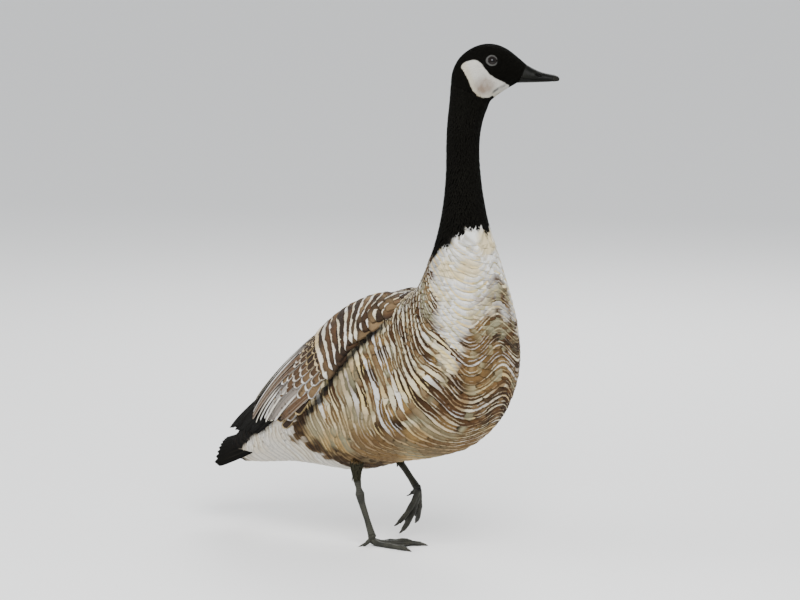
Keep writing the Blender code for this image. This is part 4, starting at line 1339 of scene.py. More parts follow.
def wrapping_tree():
    kinds = {
        "Feather": "NodeSocketObject", "Map": "NodeSocketObject",
        "Finish": "NodeSocketMaterial", "Patch": "NodeSocketFloat",
    }
    tree = Tree("wrap_feathers", kinds)
    start = tree.start.outputs
    feather = tree.add("GeometryNodeObjectInfo", {}, out=4, in0=start["Feather"])
    coat = tree.add("GeometryNodeObjectInfo", {}, out=4, in0=start["Map"])
    placed = tree.add("GeometryNodeInstanceOnPoints", {}, Points=start["Geometry"], Instance=feather)
    real = tree.add("GeometryNodeRealizeInstances", {}, in0=placed)

    leaf = tree.named("leaf")
    share, aside, raised = tree.parts(leaf)
    sway, size, _ = tree.parts(tree.named("form"))
    bend = tree.math("MULTIPLY", tree.math("MULTIPLY", share, share), sway)
    forward = tree.scaled(tree.named("go"), share)
    sideways = tree.scaled(tree.named("side"), tree.math("ADD", aside, bend))
    spot = tree.vector("ADD", tree.named("root"), tree.vector("ADD", forward, sideways))
    spot = tree.vector("MAXIMUM", spot, (0.001, 0.001, 0.0))
    spot = tree.vector("MINIMUM", spot, (0.999, 0.999, 0.0))
    flat = tree.named("flat")
    real = tree.keep(real, "spot", spot, data_type="FLOAT_VECTOR")

    def sampled(value):
        """The value at a spot of the map, or just beside a spot that falls between faces."""
        found = []
        for shift in ((0.0, 0.0, 0.0), (0.00013, 0.00007, 0.0)):
            near = tree.vector("ADD", spot, shift)
            found.append(tree.add(
                "GeometryNodeSampleUVSurface", {"data_type": "FLOAT_VECTOR"},
                in0=coat, in1=value, in2=flat, in3=near,
            ))
        hit, kind = found[0].node.outputs["Is Valid"], {"input_type": "VECTOR"}
        return tree.add("GeometryNodeSwitch", kind, in0=hit, in1=found[1], in2=found[0])

    place = sampled(tree.add("GeometryNodeInputPosition", {}))
    facing = sampled(tree.named("facing"))
    root_rise, tip_rise, curl = tree.parts(tree.named("rise"))
    climb = tree.math("MULTIPLY", tree.math("SUBTRACT", tip_rise, root_rise), share)
    curled = tree.math("MULTIPLY", tree.math("POWER", share, 4.0), curl)
    lift = tree.math("ADD", tree.math("ADD", root_rise, climb), curled)
    lift = tree.math("ADD", lift, tree.math("MULTIPLY", raised, size))
    outwards = tree.add("ShaderNodeVectorMath", {"operation": "NORMALIZE"}, in0=facing)
    target = tree.vector("ADD", place, tree.scaled(outwards, lift))
    moved = tree.add("GeometryNodeSetPosition", {}, Geometry=real, Position=target)

    patch = tree.scaled(tree.vector("SUBTRACT", leaf, (0.5, 0.0, 0.0)), start["Patch"])
    bake = tree.vector("ADD", tree.named("root"), patch)
    mapped = tree.keep(moved, "OFBake", bake, data_type="FLOAT2", domain="CORNER")
    for name in ("leaf", "form", "go", "side", "root", "rise"):
        mapped = tree.add("GeometryNodeRemoveAttribute", {}, Geometry=mapped, Name=name)
    smooth = tree.add("GeometryNodeSetShadeSmooth", {}, in0=mapped)
    tree.finish(tree.add("GeometryNodeSetMaterial", {}, Geometry=smooth, Material=start["Finish"]))
    return tree


wrap = wrapping_tree()
BAKE_PATCH = 0.003  # a feather's size on the flat unwrap that its colours are baked on


# %% Rows of roots
def row_line(t, gap, s, wobble, sag):
    """Where a row that starts at t runs, at s."""
    wander = np.sin(3 * s + 0.9 * t) + np.sin(6 * s - 1.3 * t + 1)
    return t + wobble * wander * gap - (sag(t, s) if sag else 0)


ROW_SAMPLES = 241  # places along a row at which its length is measured


def lay_rows(surface, t_range, s_range, row_gap, column_gap, rng, jitter=0.12, wobble=0.0, sag=None):
    """Roots in staggered rows over a surface. row_gap and column_gap are the widest spaces,
    in metres, row_gap at both ends where it changes. wobble is how far a row wanders, in
    row spaces, and sag how far it hangs back at t and s. Gives at each root t, s, the space
    to the next row, the row's number, where the row starts and its space in t."""
    found, row_gap = [], np.broadcast_to(row_gap, 2)
    s = np.linspace(*s_range, ROW_SAMPLES)
    t, number = t_range[0], 0
    while t < t_range[1]:
        here = np.full_like(s, t)
        by_t, by_s, _ = slopes(surface, here, s)
        pace = np.linalg.norm(by_t, axis=-1)
        gap_t = np.interp(t, t_range, row_gap) / np.percentile(pace, 92)
        run = np.concatenate(((0,), np.cumsum(np.linalg.norm(by_s, axis=-1)[1:] * (s[1] - s[0]))))
        count = max(3, int(round(run[-1] / column_gap)))
        shares = (np.arange(count) + 0.25 + 0.5 * (number % 2)) / count
        shares = np.clip(shares + rng.uniform(-jitter, jitter, count) / count, 0, 1)
        root_s = np.interp(shares * run[-1], run, s)
        root_t = row_line(t, gap_t, root_s, wobble, sag) + rng.uniform(-jitter, jitter, count) * gap_t
        space = np.interp(root_s, s, pace) * gap_t
        same = [np.full(count, value) for value in (number, t, gap_t)]
        found.append(np.stack((root_t, root_s, space, *same), -1))
        t, number = t + gap_t, number + 1
    return np.concatenate(found)


def flat_moves(coat, t, s, direction, length, width):
    """A feather's length and width, as moves on the flat map."""
    by_t, by_s, facing = slopes(coat.surface, t, s)
    direction = unit(direction - facing * np.sum(direction * facing, -1, keepdims=True))
    across = np.cross(facing, direction)
    a, b = np.sum(by_s * by_s, -1), np.sum(by_s * by_t, -1)
    d = np.sum(by_t * by_t, -1)
    moves = []
    for way, size in ((direction, length), (across, width)):
        p, q = np.sum(way * by_s, -1), np.sum(way * by_t, -1)
        scale = (size / np.maximum(a * d - b * b, 1e-12))[..., None]
        move = np.clip(np.stack((d * p - b * q, a * q - b * p), -1) * scale / coat.span, -0.2, 0.2)
        moves.append(with_last(move, 0.0))
    return moves


def drawn(start, s, stray):
    """A number between 0 and 1 that changes slowly along each row."""
    wander = 0.22 * np.sin(2.1 * s + 17 * start) + 0.10 * np.sin(5.3 * s + 31 * start)
    return 0.5 + 0.5 * np.sin(2 * np.pi * (start + wander + stray))


OWN = 0.3  # how far a feather keeps to the colours of the place where its tip lies


def paint_points(mesh, coat, paint, fringe, shortest, line):
    """Gives each point of wrapped feathers the colours of its place, so that neighbours
    match where they meet. Where the row's line is known, the share along the feather is
    measured from it too, so that the edges of a row's feathers make one smooth line."""
    names = ("spot", "home", "pick", "row")
    spot, home, pick, row = (vectors(mesh.attributes[name].data, "vector") for name in names)
    if line:
        s, t = (coat.low + spot[:, :2] * coat.span).T
        pace = np.linalg.norm(slopes(coat.surface, t, s)[0], axis=-1)
        long = np.maximum(row[:, 1] * row[:, 2], shortest / pace)
        share = (row_line(row[:, 0], row[:, 1], s, *line) - t) / long
        mesh.attributes["along"].data.foreach_set("value", share.astype(np.float32))
    place = coat.low + (spot * (1 - OWN) + home * OWN)[:, :2] * coat.span
    s, t = place.T
    vane, edge, wide = paint(t, s, coat.surface(t, s), drawn(pick[:, 0], s, pick[:, 1]))
    store(mesh, "vane_colour", with_last(vane, 1.0))
    store(mesh, "edge_colour", with_last(edge, 1.0))
    store(mesh, "fringe", fringe * wide * pick[:, 2])
    for name in names:
        mesh.attributes.remove(mesh.attributes[name])


CURL, SWAY = 0.0003, 0.10  # how far a tip may curl up, and how far a feather bends aside


def plant(
    name, coat, roots, shape, finish, paint, rises, overlap, widen, rng,
    ruffle=0.0003, fringe=0.15, shortest=0.0, coherence=0.0, stray=0.05, line=None,
):
    """Feathers on a coat. roots come from lay_rows; paint gives the colours of vane and
    edge at a place; rises are how high root and tip lie; overlap is length over row space,
    widen is width over length. ruffle is how unevenly high the tips lie, fringe how wide
    the edge is, coherence how alike a row's colours are, stray how far feathers turn
    aside, and line the wobble and sag of the rows."""
    t, s, space, row, row_t, gap = roots.T
    count = len(t)
    by_t, _, facing = slopes(coat.surface, t, s)
    swing = rng.normal(0, stray, count)
    lie, across = -unit(by_t), unit(np.cross(facing, -by_t))
    direction = lie * np.cos(swing)[:, None] + across * np.sin(swing)[:, None]
    length = np.maximum(space * overlap, shortest) * rng.uniform(0.97, 1.03, count)
    width = length * widen * rng.uniform(0.92, 1.08, count)
    go, side = flat_moves(coat, t, s, direction, length, width)
    tip_t = t - length * 0.9 / np.linalg.norm(by_t, axis=-1)
    start = rng.uniform(0, 1, int(row.max()) + 1)[row.astype(int)]
    odd = rng.uniform(-0.5, 0.5, count) * (1 - coherence)
    curl = rng.uniform(0.0, CURL, count)
    tips = rises[1] + rng.uniform(-1, 1, count) * ruffle
    sway = rng.normal(0, SWAY, count)
    zero = np.zeros(count)
    stored = {
        "root": with_last(coat.flat(t, s), 0.0), "go": go, "side": side,
        "rise": np.stack((rises[0] + zero, tips, curl), -1),
        "form": np.stack((sway, width, zero), -1),
        "home": with_last(coat.flat(tip_t, s), 0.0),
        "pick": np.stack((start, odd, rng.uniform(0.9, 1.1, count)), -1),
        "row": np.stack((row_t, gap, zero + overlap), -1),
    }
    obj = mesh_object(name, [(0, 0, 0)] * count, [])
    for key, values in stored.items():
        store(obj.data, key, values)

    nodes = obj.modifiers.new("feathers", "NODES")
    nodes.node_group = wrap.tree
    inputs = {"Feather": feathers[shape], "Map": coat.obj, "Finish": finish, "Patch": BAKE_PATCH}
    for key, value in inputs.items():
        nodes[wrap.identifier(key)] = value
    plain_mesh(obj)
    paint_points(obj.data, coat, paint, fringe, shortest, line)
    print(f"{name}: {count} feathers, {len(obj.data.polygons) * 2} triangles")
    return obj


# %% [markdown]
# ## What a feather looks like
# A contour feather has a soft middle, a paler edge round its tip and, just inside that, a
# darker band. Barbs run out from its shaft at a slant and give it fine lines. The stored
# numbers along and across say where on its feather each point lies, so one material draws
# this on every feather, in that feather's own two colours.


# %% Feather material
def feather_finish(
    name, barbs=60.0, band=0.35, relief=0.00035, shaft=0.0, streak=0.0, rough=0.8, shine=0.2,
    bend=0.05, rim=None, second=0.0,
):
    finish = Finish(name, Roughness=rough, Specular_IOR_Level=shine)
    share, across = finish.number("along"), finish.number("across")
    aside = across.size()
    spot = finish.place()
    grain = finish.noise(spot, 420.0, 3.0)
    tip = share + aside * aside * bend + (grain - 0.5) * 0.06
    edge_at = 1.0 - finish.number("fringe")
    fringe = (tip - edge_at).steps(-0.02, 0.025)
    if rim:
        fringe = fringe * tip.steps(rim, rim - 0.02)
    if streak:
        beside = (finish.number("beside") + (grain - 0.5) * 0.16).steps(0.62, 0.76)
        beside = beside * share.steps(0.05, 0.30)
        blotch = finish.noise(spot, 150.0, 2.0).steps(0.56, 0.64) * aside.steps(0.55, 0.2)
        fringe = fringe.most(beside * streak)
    shade = (tip - edge_at).size().steps(0.20, 0.02) * band
    vane = finish.blend(shade, finish.stored("vane_colour"), (0.022, 0.015, 0.010))
    if second:
        line = (tip - (edge_at - 0.12)).size().steps(0.030, 0.012) * second
        fringe = fringe.most(line * finish.noise(spot, 60.0, 2.0).steps(0.40, 0.55))
    colour = finish.blend(fringe, vane, finish.stored("edge_colour"))
    lines = ((share - aside * 0.35) * barbs * 6.283).wave() * 0.5 + 0.5
    colour = finish.blend(lines * 0.12 + grain * 0.22, colour, (0.012, 0.010, 0.008))
    if streak:
        colour = finish.blend(blotch * 0.75, colour, (0.030, 0.018, 0.010))
    if shaft:
        rib = aside.steps(0.10, 0.02) * share.steps(0.92, 0.6) * shaft
        colour = finish.blend(rib, colour, (0.30, 0.25, 0.19))
    return finish.show(colour, height=lines * 0.6 + grain * 0.6, depth=relief)


contour_finish = feather_finish("contour_feathers", shine=0.08, bend=0.0, rim=0.985, second=0.6)
covert_finish = feather_finish("covert_feathers", band=0.3, streak=0.8)
wing_finish = feather_finish("wing_coverts", band=0.5, bend=0.0, rim=0.99)
small_finish = feather_finish("small_feathers", barbs=3.0, band=0.0, relief=0.0002, shine=0.03)

# %% [markdown]
# ## Feathers of the body
# The rows run round the bird and start at the tail, so that each row lies over the roots of
# the one behind it. On the flanks the tips of a row line up into the curved bars that a
# Canada goose shows. The rows stop under the folded wings, where nothing can be seen.


# %% Body feathers
def under_wing(t, s):
    share = (np.abs(s) - WING_TOP) / (wing_lower(t) - WING_TOP)
    inner = (share > 0.10) & (share < 0.86)
    return inner & (t > WING_REAR + 0.2) & (t < WING_FRONT - 0.6)


def breast_sag(t, s):
    """The rows run down the sides of the breast and rise again towards its middle."""
    rise = ease((np.abs(np.degrees(s)) - 132) / 48)
    return 0.12 - 0.80 * rise * ease((t - 4.6) / 2.6)


TAIL_END = 0.72  # behind this section only the tail's own feathers are seen
rng = np.random.default_rng(7)
around = (-np.pi, np.pi)
roots = lay_rows(coat_point, (-0.1, 10.4), around, 0.0150, 0.0098, rng, 0.03, 0.35, breast_sag)
roots = roots[~under_wing(roots[:, 0], roots[:, 1]) & (roots[:, 0] > TAIL_END)]
body_feathers = plant(
    "body_feathers", body_coat, roots, "contour", contour_finish, plumage,
    (-depth(roots[:, 0]), 0.0003), 2.7, 0.72, rng,
    ruffle=0.0003, fringe=0.16, shortest=0.018, coherence=0.98, stray=0.03, line=(0.35, breast_sag),
)

# %% [markdown]
# The breast's feathers are smaller and rounder than the flank's, and end at the black
# stocking. Roots whose feathers would end on black are left out here, and the neck's own
# feathers begin where these stop, so that the two kinds meet along the ragged edge.

# %% Breast feathers up to the black stocking
def black_share(roots, length):
    """How black the plumage is where the feathers of some roots end."""
    t, angle = roots[:, 0], roots[:, 1]
    t = t - length / np.linalg.norm(slopes(coat_point, t, angle)[0], axis=-1)
    return sock(t, angle, coat_point(t, angle))


roots = lay_rows(coat_point, (10.4, 14.6), around, 0.0125, 0.0080, rng, 0.04, 0.3, breast_sag)
roots = roots[black_share(roots, 0.020) < 0.5]
breast_feathers = plant(
    "breast_feathers", body_coat, roots, "contour", contour_finish, plumage,
    (-depth(roots[:, 0]), 0.0), 3.1, 0.80, rng,
    ruffle=0.0001, fringe=0.10, shortest=0.010, coherence=0.97, stray=0.02, line=(0.3, breast_sag),
)

# %% [markdown]
# The neck and head look like velvet, because their feathers are a few millimetres long and
# lie in tight rows. A pointed shape of 24 triangles is enough for each. Around the eyes they
# are left out, where the bare lids show.

# %% Neck: the feathers grow finer towards the head
tracts = ((10.4, 16.0, 0.0038), (16.0, 17.6, 0.0032), (17.6, 19.4, 0.0026))
tracts = [lay_rows(coat_point, (a, b), around, gap, gap, rng, 0.3) for a, b, gap in tracts]
roots = np.concatenate(tracts)
roots = roots[black_share(roots, 0.007) > 0.5]
neck_feathers = plant(
    "neck_feathers", body_coat, roots, "small", small_finish, plumage,
    (-depth(roots[:, 0]), 0.0), 3.6, 0.42, rng, ruffle=0.0001,
    shortest=np.interp(roots[:, 0], (13.0, 19.4), (0.011, 0.005)),
)


# %% Head
EYE_CLEAR = 0.0077  # the bare round that each eye and its lids need


def off_the_eyes(roots):
    """The roots whose feathers lie clear of both eyes."""
    for word in ("left", "right"):
        centre, _, out, _, _ = eye_frame(word)
        for run in (0.0, 0.0025, 0.005):
            by_t, _, facing = slopes(coat_point, roots[:, 0], roots[:, 1])
            off = coat_point(roots[:, 0], roots[:, 1]) - unit(by_t) * run - centre
            off -= out * np.sum(off * out, -1, keepdims=True)
            clear = (np.linalg.norm(off, axis=-1) > EYE_CLEAR) | (facing @ out < 0)
            roots = roots[clear]
    return roots


head_feathers = []
for name, span in (("crown_feathers", (19.4, 23.0)), ("face_feathers", (23.0, 27.35))):
    roots = off_the_eyes(lay_rows(coat_point, span, around, 0.0018, 0.0016, rng, 0.3))
    head_feathers.append(plant(
        name, body_coat, roots, "small", small_finish, plumage,
        (-depth(roots[:, 0]), 0.0), 3.0, 0.42, rng, ruffle=0.00012, shortest=0.0034, stray=0.10,
    ))


# %% [markdown]
# A goose's thigh is hidden in the belly's feathers, and only its lower end shows, where
# small feathers thin out on to the bare leg. It is a tube with a coat of its own, so it has
# its own flat map, and only roots that lie outside the body's coat get a feather.

# %% Thighs
LEG_DARK = (0.030, 0.029, 0.018)
LEG_DARK_Z = 0.137  # below this height the feathers have the leg's colour


def thigh_colours(t, s, points, draw):
    patch = waves(points, 71, 0.02)
    dark = ease((LEG_DARK_Z - points[..., 2]) / 0.010)
    vane, edge = mix(OCHRE, BROWN, 0.25 + 0.5 * patch), mix(SAND, TAN, patch)
    return mix(vane, LEG_DARK, dark), mix(edge, LEG_DARK, dark * 0.9), 0.7 - 0.4 * dark


thigh_maps, thigh_feathers = [], []
for word, coat in thigh_coats.items():
    thigh_maps.append(Coat(f"thigh_map_{word}", coat, (-1.2, 1.3), (-4.4, 4.4), (80, 120)))
    roots = lay_rows(coat, (0.05, 0.95), around, 0.0034, 0.0034, rng, 0.3)
    place = coat(roots[:, 0], roots[:, 1])
    near_place = coat_place(place)
    facing = slopes(coat_point, *near_place)[2]
    out = np.sum((place - coat_point(*near_place)) * facing, -1)
    roots = roots[out > -0.004]
    thigh_feathers.append(plant(
        f"thigh_feathers_{word}", thigh_maps[-1], roots, "small", small_finish,
        thigh_colours, (-THIGH_DEPTH, 0.0), 3.4, 0.42, rng, ruffle=0.0002, shortest=0.009,
    ))


# %% [markdown]
# ## The folded wings
# A folded wing is tiled like a roof. Short coverts lie at its front in rows with broad cream
# tips, larger ones follow, and from under them come the long feathers: tertials on top, then
# secondaries with pale edges, and the black primaries whose tips cross over the rump. The
# coverts are wrapped on the swelling of the wing as the body's feathers are on the body.


# %% The wings' surface, both at once: s runs from -1 to 1, negative on the bird's right
def wing_surface(t, s):
    t, s = np.broadcast_arrays(np.asarray(t, float), np.asarray(s, float))
    share = np.abs(s)
    angle = np.where(s < 0, -1, 1) * (WING_TOP + (wing_lower(t) - WING_TOP) * share)
    facing = slopes(coat_point, t, angle)[2]
    return coat_point(t, angle) + facing * wing_height(t, share)[..., None]


wing_coat = Coat("wing_map", wing_surface, (0.4, 8.3), (-1.16, 1.16), (160, 160))


def covert_colours(t, s, points, draw):
    """Dark brown with cream and white bars in front, brown with grey edges further back."""
    rear, patch = ease((5.3 - t) / 1.0), waves(points, 51, 0.025)
    vane = mix(ramp(draw, BROWN, DARK, BROWN, TAN, DARK), ramp(draw, BROWN, TAN, BROWN, DARK), rear)
    edge = mix(ramp(draw, CREAM, WHITE, YELLOW, WHITE, CREAM), ramp(draw, PALE_GREY, WHITE, SAND), rear)
    return vane, edge, 0.25 + 0.85 * patch + 0.35 * rear


# %% [markdown]
# A real wing has its coverts in rows by size. The table below gives each row's stretch of
# the wing, its spaces and its shape, and one loop plants them on both wings. The rearmost
# row comes first, so that the next one lies over its roots.

# %% Rows of coverts, from the rear
# section numbers, row space, column space, length over space, width over length, edge, shape
COVERTS = (
    (3.45, 5.1, (0.0200, 0.0180), 0.0120, 2.4, 0.33, 0.10, "covert"),
    (5.1, 8.15, (0.0175, 0.0100), 0.0098, 2.5, 0.66, 0.17, "contour"),
)
covert_pieces = []
for number, (rear, fore, row_gap, column_gap, overlap, widen, fringe, shape) in enumerate(COVERTS):
    for word, side in (("left", 1), ("right", -1)):
        span = (0.0, 0.97) if side > 0 else (-0.97, 0.0)
        roots = lay_rows(wing_surface, (rear, fore), span, row_gap, column_gap, rng, 0.03, 0.45)
        covert_pieces.append(plant(
            f"coverts_{word}_{number + 1}", wing_coat, roots, shape,
            covert_finish if shape == "covert" else wing_finish,
            covert_colours, (-0.0035, 0.0012), overlap, widen, rng,
            ruffle=0.0004, fringe=fringe, coherence=0.99, stray=0.03,
            line=(0.45, None) if shape == "contour" else None,
        ))


# %% [markdown]
# The long feathers reach past the body, where there is no surface to wrap them on. Each is
# its own vane on a bent path from a root on the wing to a stated tip, with a raised shaft
# that lies nearer to its outer edge, as on a real flight feather. The baked colours of such
# a long feather need more room than a small one's, so each has its own cell of the flat map.

# %% One long feather
LONG_OUTLINE = np.array((
    (0.0, 0.30), (0.12, 0.36), (0.30, 0.43), (0.50, 0.48), (0.68, 0.50), (0.82, 0.50),
    (0.90, 0.475), (0.95, 0.42), (0.98, 0.33), (1.0, 0.18),
))
LONG_ROWS, LONG_COLUMNS = 18, 8
LONG_THICK, LONG_CROWN = 0.00045, 0.10  # metres, and a share of the width
SHAFT_AT = -0.28  # where the shaft runs across the vane, from -1 to 1
SHAFT_HIGH, SHAFT_WIDE = 0.00035, 0.16


def bent_path(root, middle, tip, share):
    control = middle * 2 - (root + tip) / 2
    share = share[..., None]
    return root * (1 - share) ** 2 + control * (2 * share * (1 - share)) + tip * share**2


class LongFeathers:
    """Gathers long feathers into one mesh."""

    def __init__(self, name, cells):
        self.name, self.cells, self.count = name, cells, 0
        self.points, self.faces, self.stored = [], [], {}

    def add(self, root, middle, tip, normal, width, lean, outer, vane, edge, fringe, point=0.40):
        """outer is 1 or -1: the side of the vane that faces the air; point is how pointed it is."""
        share = np.linspace(0, 1, LONG_ROWS) ** 0.85
        half = np.interp(share, LONG_OUTLINE[:, 0], LONG_OUTLINE[:, 1]) * width
        wide = np.linspace(-1, 1, LONG_COLUMNS)
        middle_line = bent_path(root, middle, tip, share)
        ahead = unit(np.gradient(middle_line, axis=0))
        side = unit(np.cross(normal, ahead) + normal * lean)
        face = unit(np.cross(ahead, side))
        shaft = np.abs(wide - SHAFT_AT * outer) < SHAFT_WIDE
        crown = LONG_CROWN * width * (1 - wide**2) + SHAFT_HIGH * shaft
        top = middle_line[:, None] + side[:, None] * (half[:, None, None] * wide[None, :, None])
        top = top + face[:, None] * crown[None, :, None]
        rounding = point * width * wide**2 * share[:, None] ** 5
        top = top - ahead[:, None] * rounding[..., None]
        under = top - face[:, None] * (LONG_THICK * (1 - wide**2))[None, :, None]
        start = sum(len(p) for p in self.points)
        size = LONG_ROWS * LONG_COLUMNS
        self.points += [top.reshape(-1, 3), under.reshape(-1, 3)]
        layer = grid_faces(LONG_ROWS, LONG_COLUMNS, wrap=False)
        self.faces += [[start + i for i in f] for f in layer]
        self.faces += [[start + size + i for i in reversed(f)] for f in layer]
        rim = list(range(LONG_COLUMNS))
        rim += [r * LONG_COLUMNS + LONG_COLUMNS - 1 for r in range(1, LONG_ROWS)]
        rim += [(LONG_ROWS - 1) * LONG_COLUMNS + c for c in range(LONG_COLUMNS - 2, -1, -1)]
        rim += [r * LONG_COLUMNS for r in range(LONG_ROWS - 2, 0, -1)]
        for a, b in zip(rim, rim[1:] + rim[:1]):
            self.faces.append([start + b, start + a, start + size + a, start + size + b])
        self.keep(share, wide, outer, vane, edge, fringe)

    def keep(self, share, wide, outer, vane, edge, fringe):
        """Stores what the material and the bake need to know at each point."""
        across = (wide - SHAFT_AT * outer) / (1 + abs(SHAFT_AT))
        share, across = np.broadcast_arrays(share[:, None], across[None, :])
        size = share.size
        column, row = self.count % self.cells, self.count // self.cells
        u = (column + 0.08 + 0.84 * (wide[None, :] + 1) / 2 + 0 * share) / self.cells
        v = (row + 0.06 + 0.88 * share) / self.cells
        rows = {
            "along": share.ravel(), "across": across.ravel(),
            "vane_colour": np.tile((*vane, 1.0), (size, 1)),
            "edge_colour": np.tile((*edge, 1.0), (size, 1)),
            "fringe": np.full(size, fringe),
            "beside": np.broadcast_to(np.abs(wide)[None, :], share.shape).ravel(),
            "cell": np.stack((u.ravel(), v.ravel()), -1),
        }
        for key, values in rows.items():
            self.stored.setdefault(key, []).extend([values, values])
        self.count += 1

    def build(self, finish):
        obj = mesh_object(self.name, np.concatenate(self.points), self.faces)
        face_outwards(obj)
        for key, values in self.stored.items():
            if key != "cell":
                store(obj.data, key, np.concatenate(values))
        cell = np.concatenate(self.stored["cell"])
        corners = np.empty(len(obj.data.loops), np.int32)
        obj.data.loops.foreach_get("vertex_index", corners)
        flat = obj.data.uv_layers.new(name="OFBake")
        flat.data.foreach_set("uv", cell[corners].astype(np.float32).ravel())
        obj.data.materials.append(finish)
        print(f"{self.name}: {self.count} feathers, {len(obj.data.polygons) * 2} triangles")
        return obj


# %% [markdown]
# In a folded wing the long feathers stack like the sticks of a fan. A row of them runs
# between its first and its last feather, so those two are given, and a loop works out the
# ones between, with a little chance in each length and width.

# %% Rows of long wing feathers
# Roots are section number and share down the wing, tips are x, y, z on the left wing. The
# first of a row lies over the next.
PRIMARIES = dict(
    count=9, first_root=(2.75, 0.36), last_root=(2.75, 0.80),
    first_tip=(-0.324, 0.008, 0.1470), last_tip=(-0.232, 0.056, 0.1560),
    wide=0.0185, root_height=-0.0035, bow=0.003, fringe=0.02, tilt=0.8,
)
SECONDARIES = dict(
    count=10, first_root=(3.2, 0.50), last_root=(4.3, 0.95),
    first_tip=(-0.230, 0.056, 0.1700), last_tip=(-0.146, 0.090, 0.190),
    wide=0.0215, root_height=-0.0022, bow=0.006, fringe=0.015,
)
TERTIALS = dict(
    count=6, first_root=(3.9, 0.08), last_root=(3.8, 0.52),
    first_tip=(-0.262, 0.020, 0.1850), last_tip=(-0.240, 0.052, 0.1745),
    wide=0.0290, root_height=-0.0012, bow=0.0070, fringe=0.02,
)
FLIGHT_LEAN = 0.16


def long_row(gather, side, row, colours, rng):
    count = row["count"]
    for i in range(count):
        f = i / (count - 1)
        t = row["first_root"][0] * (1 - f) + row["last_root"][0] * f
        s = side * (row["first_root"][1] * (1 - f) + row["last_root"][1] * f)
        t, s = np.array(t), np.array(s)
        normal = unit(slopes(wing_surface, t, s)[2] + (0, side * row.get("tilt", 0.0), 0))
        root = wing_surface(t, s) + normal * (row["root_height"] - 0.0002 * i)
        tip = np.array(row["first_tip"]) * (1 - f) + np.array(row["last_tip"]) * f
        tip = tip * (1, side, 1) + unit(tip - root) * rng.uniform(-0.006, 0.006)
        middle = (root + tip) / 2 + normal * row["bow"]
        vane, edge = colours(f, rng)
        gather.add(
            root, middle, tip, normal, row["wide"] * rng.uniform(0.95, 1.05) * (1 - 0.3 * f * f),
            -side * FLIGHT_LEAN, side, vane, edge, row["fringe"],
        )


def black_feather(f, rng):
    return mix(BLACK, NECK_SHEEN, rng.uniform(0, 0.3)), NECK_SHEEN


def streaked_feather(f, rng):
    vane = mix(DARK, (0.42, 0.39, 0.35), rng.uniform(0.1, 0.9))
    edge = mix(CREAM, WHITE, rng.uniform(0.2, 1.0))
    hidden = ease((f - 0.55) / 0.3)  # the lowest secondaries are dark
    return mix(vane, BROWN, hidden), mix(edge, BROWN, hidden * 0.8)


flight_finish = feather_finish(
    "flight_feathers", barbs=46.0, band=0.25, relief=0.0003, shaft=0.3, streak=0.9, rough=0.62
)
black_flight_finish = feather_finish(
    "black_flight_feathers", barbs=46.0, band=0.0, relief=0.0003, shaft=0.02, rough=0.72, shine=0.04
)
long_pieces = []
for word, side in (("left", 1), ("right", -1)):
    dark = LongFeathers(f"primaries_{word}", 4)
    long_row(dark, side, PRIMARIES, black_feather, rng)
    long_pieces.append(dark.build(black_flight_finish))
    pale = LongFeathers(f"secondaries_{word}", 5)
    long_row(pale, side, SECONDARIES, streaked_feather, rng)
    long_row(pale, side, TERTIALS, streaked_feather, rng)
    long_pieces.append(pale.build(flight_finish))


# %% [markdown]
# ## The tail
# Sixteen stiff black feathers fan out from under the white coverts. The middle pair lies on
# top, and each next feather outwards lies a little lower and is a little shorter.

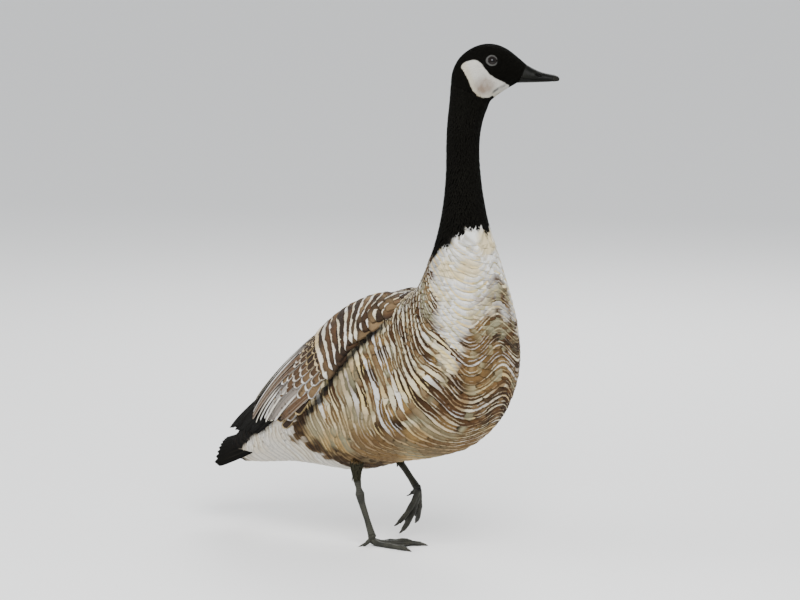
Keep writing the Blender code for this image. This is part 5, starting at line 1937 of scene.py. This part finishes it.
# %% Tail feathers
TAIL_FEATHERS = 16
TAIL_ROOT, TAIL_TIP = np.array((-0.226, 0.0, 0.165)), np.array((-0.336, 0.0, 0.128))
TAIL_ROOT_SPREAD, TAIL_TIP_SPREAD = 0.030, 0.045
TAIL_ROOT_DROOP, TAIL_TIP_DROOP = 0.022, 0.027
TAIL_SHORTER, TAIL_WIDE, TAIL_STACK, TAIL_LEAN = 0.014, 0.0230, 0.0005, 1.20
tail_fan = LongFeathers("tail_feathers", 4)
for i in range(TAIL_FEATHERS):
    f = 2 * i / (TAIL_FEATHERS - 1) - 1
    lower = np.array((0, 0, -TAIL_STACK * abs(i - (TAIL_FEATHERS / 2 - 0.5))))
    root = TAIL_ROOT + (0, f * TAIL_ROOT_SPREAD, -TAIL_ROOT_DROOP * f * f) + lower
    tip = TAIL_TIP + (TAIL_SHORTER * f * f, f * TAIL_TIP_SPREAD, -TAIL_TIP_DROOP * f * f) + lower
    tip = tip + (rng.uniform(-0.0008, 0.0008), 0, 0)
    normal = unit(np.array((0.28, TAIL_LEAN * f, 1)))
    vane, edge = black_feather(f, rng)
    tail_fan.add(
        root, (root + tip) / 2, tip, normal, TAIL_WIDE, 0.0, 1 if f > 0 else -1,
        vane, edge, 0.02, point=0.15,
    )
tail_feathers = tail_fan.build(black_flight_finish)

# %% [markdown]
# ## Fit and finish
# Every piece rides on the one body of the model, and the solids that it stands for are hidden.

# %% Join the pieces to the solids
feather_pieces = [body_feathers, breast_feathers, neck_feathers] + head_feathers
feather_pieces += thigh_feathers + covert_pieces + long_pieces + [tail_feathers]
for piece in feather_pieces + [skin] + eyes + lids + bill + legs + claws:
    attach(piece, "root")
for word, eye in zip(("left", "right"), eyes):
    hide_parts("eye_" + word)
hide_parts("bill_upper")
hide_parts("bill_lower")
for piece in legs:
    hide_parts(piece.name.replace("_skin", ""))
for claw in claws:
    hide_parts(claw.name.replace("_horn", ""))
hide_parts("torso", "neck", "head", "thigh_left", "thigh_right")
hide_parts("tail")
for piece in long_pieces:
    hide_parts("wing_left" if "left" in piece.name else "wing_right")
for coat in (body_coat, wing_coat, *thigh_maps):
    bpy.data.objects.remove(coat.obj, do_unlink=True)
for feather in feathers.values():
    bpy.data.objects.remove(feather, do_unlink=True)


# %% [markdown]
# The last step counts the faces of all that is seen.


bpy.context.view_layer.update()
total = sum(len(o.data.polygons) for o in bpy.data.objects if o.type == "MESH" and not o.hide_render)
print("faces in all:", total)
